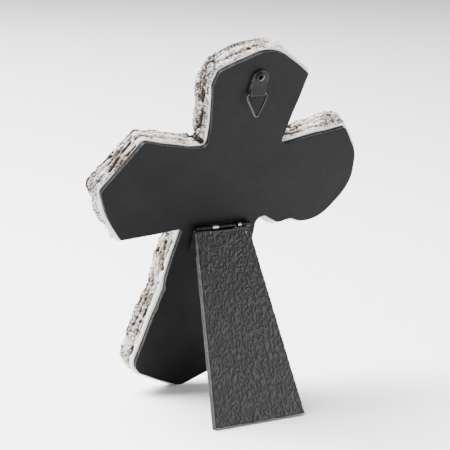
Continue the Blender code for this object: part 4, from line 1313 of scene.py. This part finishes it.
setOn(hangerStrap(), "plaque", "black_metal", "hanger_strap")
setOn(hangerEyelet(), "plaque", "black_metal", "hanger_rivet")
setOn(hangingRing(), "ring", "ring_wire", "hanging_ring")
knuckleTree = rolledKnucklesTree()
setOn(boardLeaf(), "plaque", "black_metal", "hinge_board_leaf")
setOn(legLeaf(), "leg", "black_metal", "hinge_leg_leaf")
setOn(clinchProngs(), "leg", "bare_steel")
coat(frame["nodes"]["hinge_pin"], hingeBlack)
print("hanger, ring and hinge ready")


# Camera, at the photograph's place: mm from the outline's zero point, right, up and out of the back
view = {"place": (-530.3, 606.9, 674.5), "target": (3.0, 100.1, 0.0), "sideways": (0.83986, 0.22835, 0.49243),
        "lens": 160.0, "sensor": 36.0, "near": 0.05}


def fromBoard(right, up, out):
    return boardFrame @ (Vector((-right, out, up)) * mm)


def addCamera():
    data = bpy.data.cameras.new("view")
    data.lens = view["lens"]
    data.sensor_width = view["sensor"]
    data.clip_start = view["near"]
    camera = addObject("view", data)
    eye, target = fromBoard(*view["place"]), fromBoard(*view["target"])
    back = (eye - target).normalized()
    right, up, out = view["sideways"]
    sideways = boardFrame.to_3x3() @ Vector((-right, out, up))
    sideways = (sideways - back * sideways.dot(back)).normalized()
    turn = Matrix((sideways, back.cross(sideways), back)).transposed()
    camera.matrix_world = Matrix.Translation(eye) @ turn.to_4x4()
    bpy.context.scene.camera = camera


# The studio: the world's strength as light and as the camera sees it, and the lamps
stage = {
    "glow": 0.5, "backdrop": 3.0, "floorHalf": 9.0,
    # name, place, what it points at, size, watts
    "lamps": [
        ("sideKey", (-0.75, 0.75, 0.30), (0.0, 0.0, 0.09), (0.35, 0.35), 8.0),
        ("overhead", (0.55, -0.25, 1.2), (0.0, 0.0, 0.09), (0.9, 0.9), 100.0),
        ("farFloor", (0.3, -1.8, 1.5), (0.3, -1.8, 0.0), (1.8, 1.4), 150.0),
    ],
}


def addLamp(name, place, target, size, watts):
    data = bpy.data.lights.new(name, "AREA")
    data.shape = "RECTANGLE"
    data.size, data.size_y = size
    data.energy = watts
    lamp = addObject(name, data)
    lamp.location = place
    lamp.rotation_euler = (Vector(target) - Vector(place)).to_track_quat("-Z", "Y").to_euler()


def addStage():
    wide = stage["floorHalf"]
    floor = block("floor", (-wide, -wide, -0.02), (wide, wide, 0.0))
    made, _, place, shader = newMaterial("paleFloor")
    tone = mixed(noiseOf(place, 30.0, 3.0), (0.90, 0.90, 0.90), (0.93, 0.93, 0.93))
    dress(shader, {"Base Color": tone, "Roughness": 0.9})
    coat(floor, made)
    world = bpy.data.worlds.new("studio")
    world.use_nodes = True
    seen = put(world.node_tree, "ShaderNodeLightPath").outputs["Is Camera Ray"]
    strength = between(seen, 0.0, 1.0, stage["glow"], stage["backdrop"])
    dress(world.node_tree.nodes["Background"], {"Color": (1.0, 1.0, 1.0), "Strength": strength})
    bpy.context.scene.world = world
    for lamp in stage["lamps"]:
        addLamp(*lamp)


addCamera()
addStage()
print("camera, lights and floor ready")
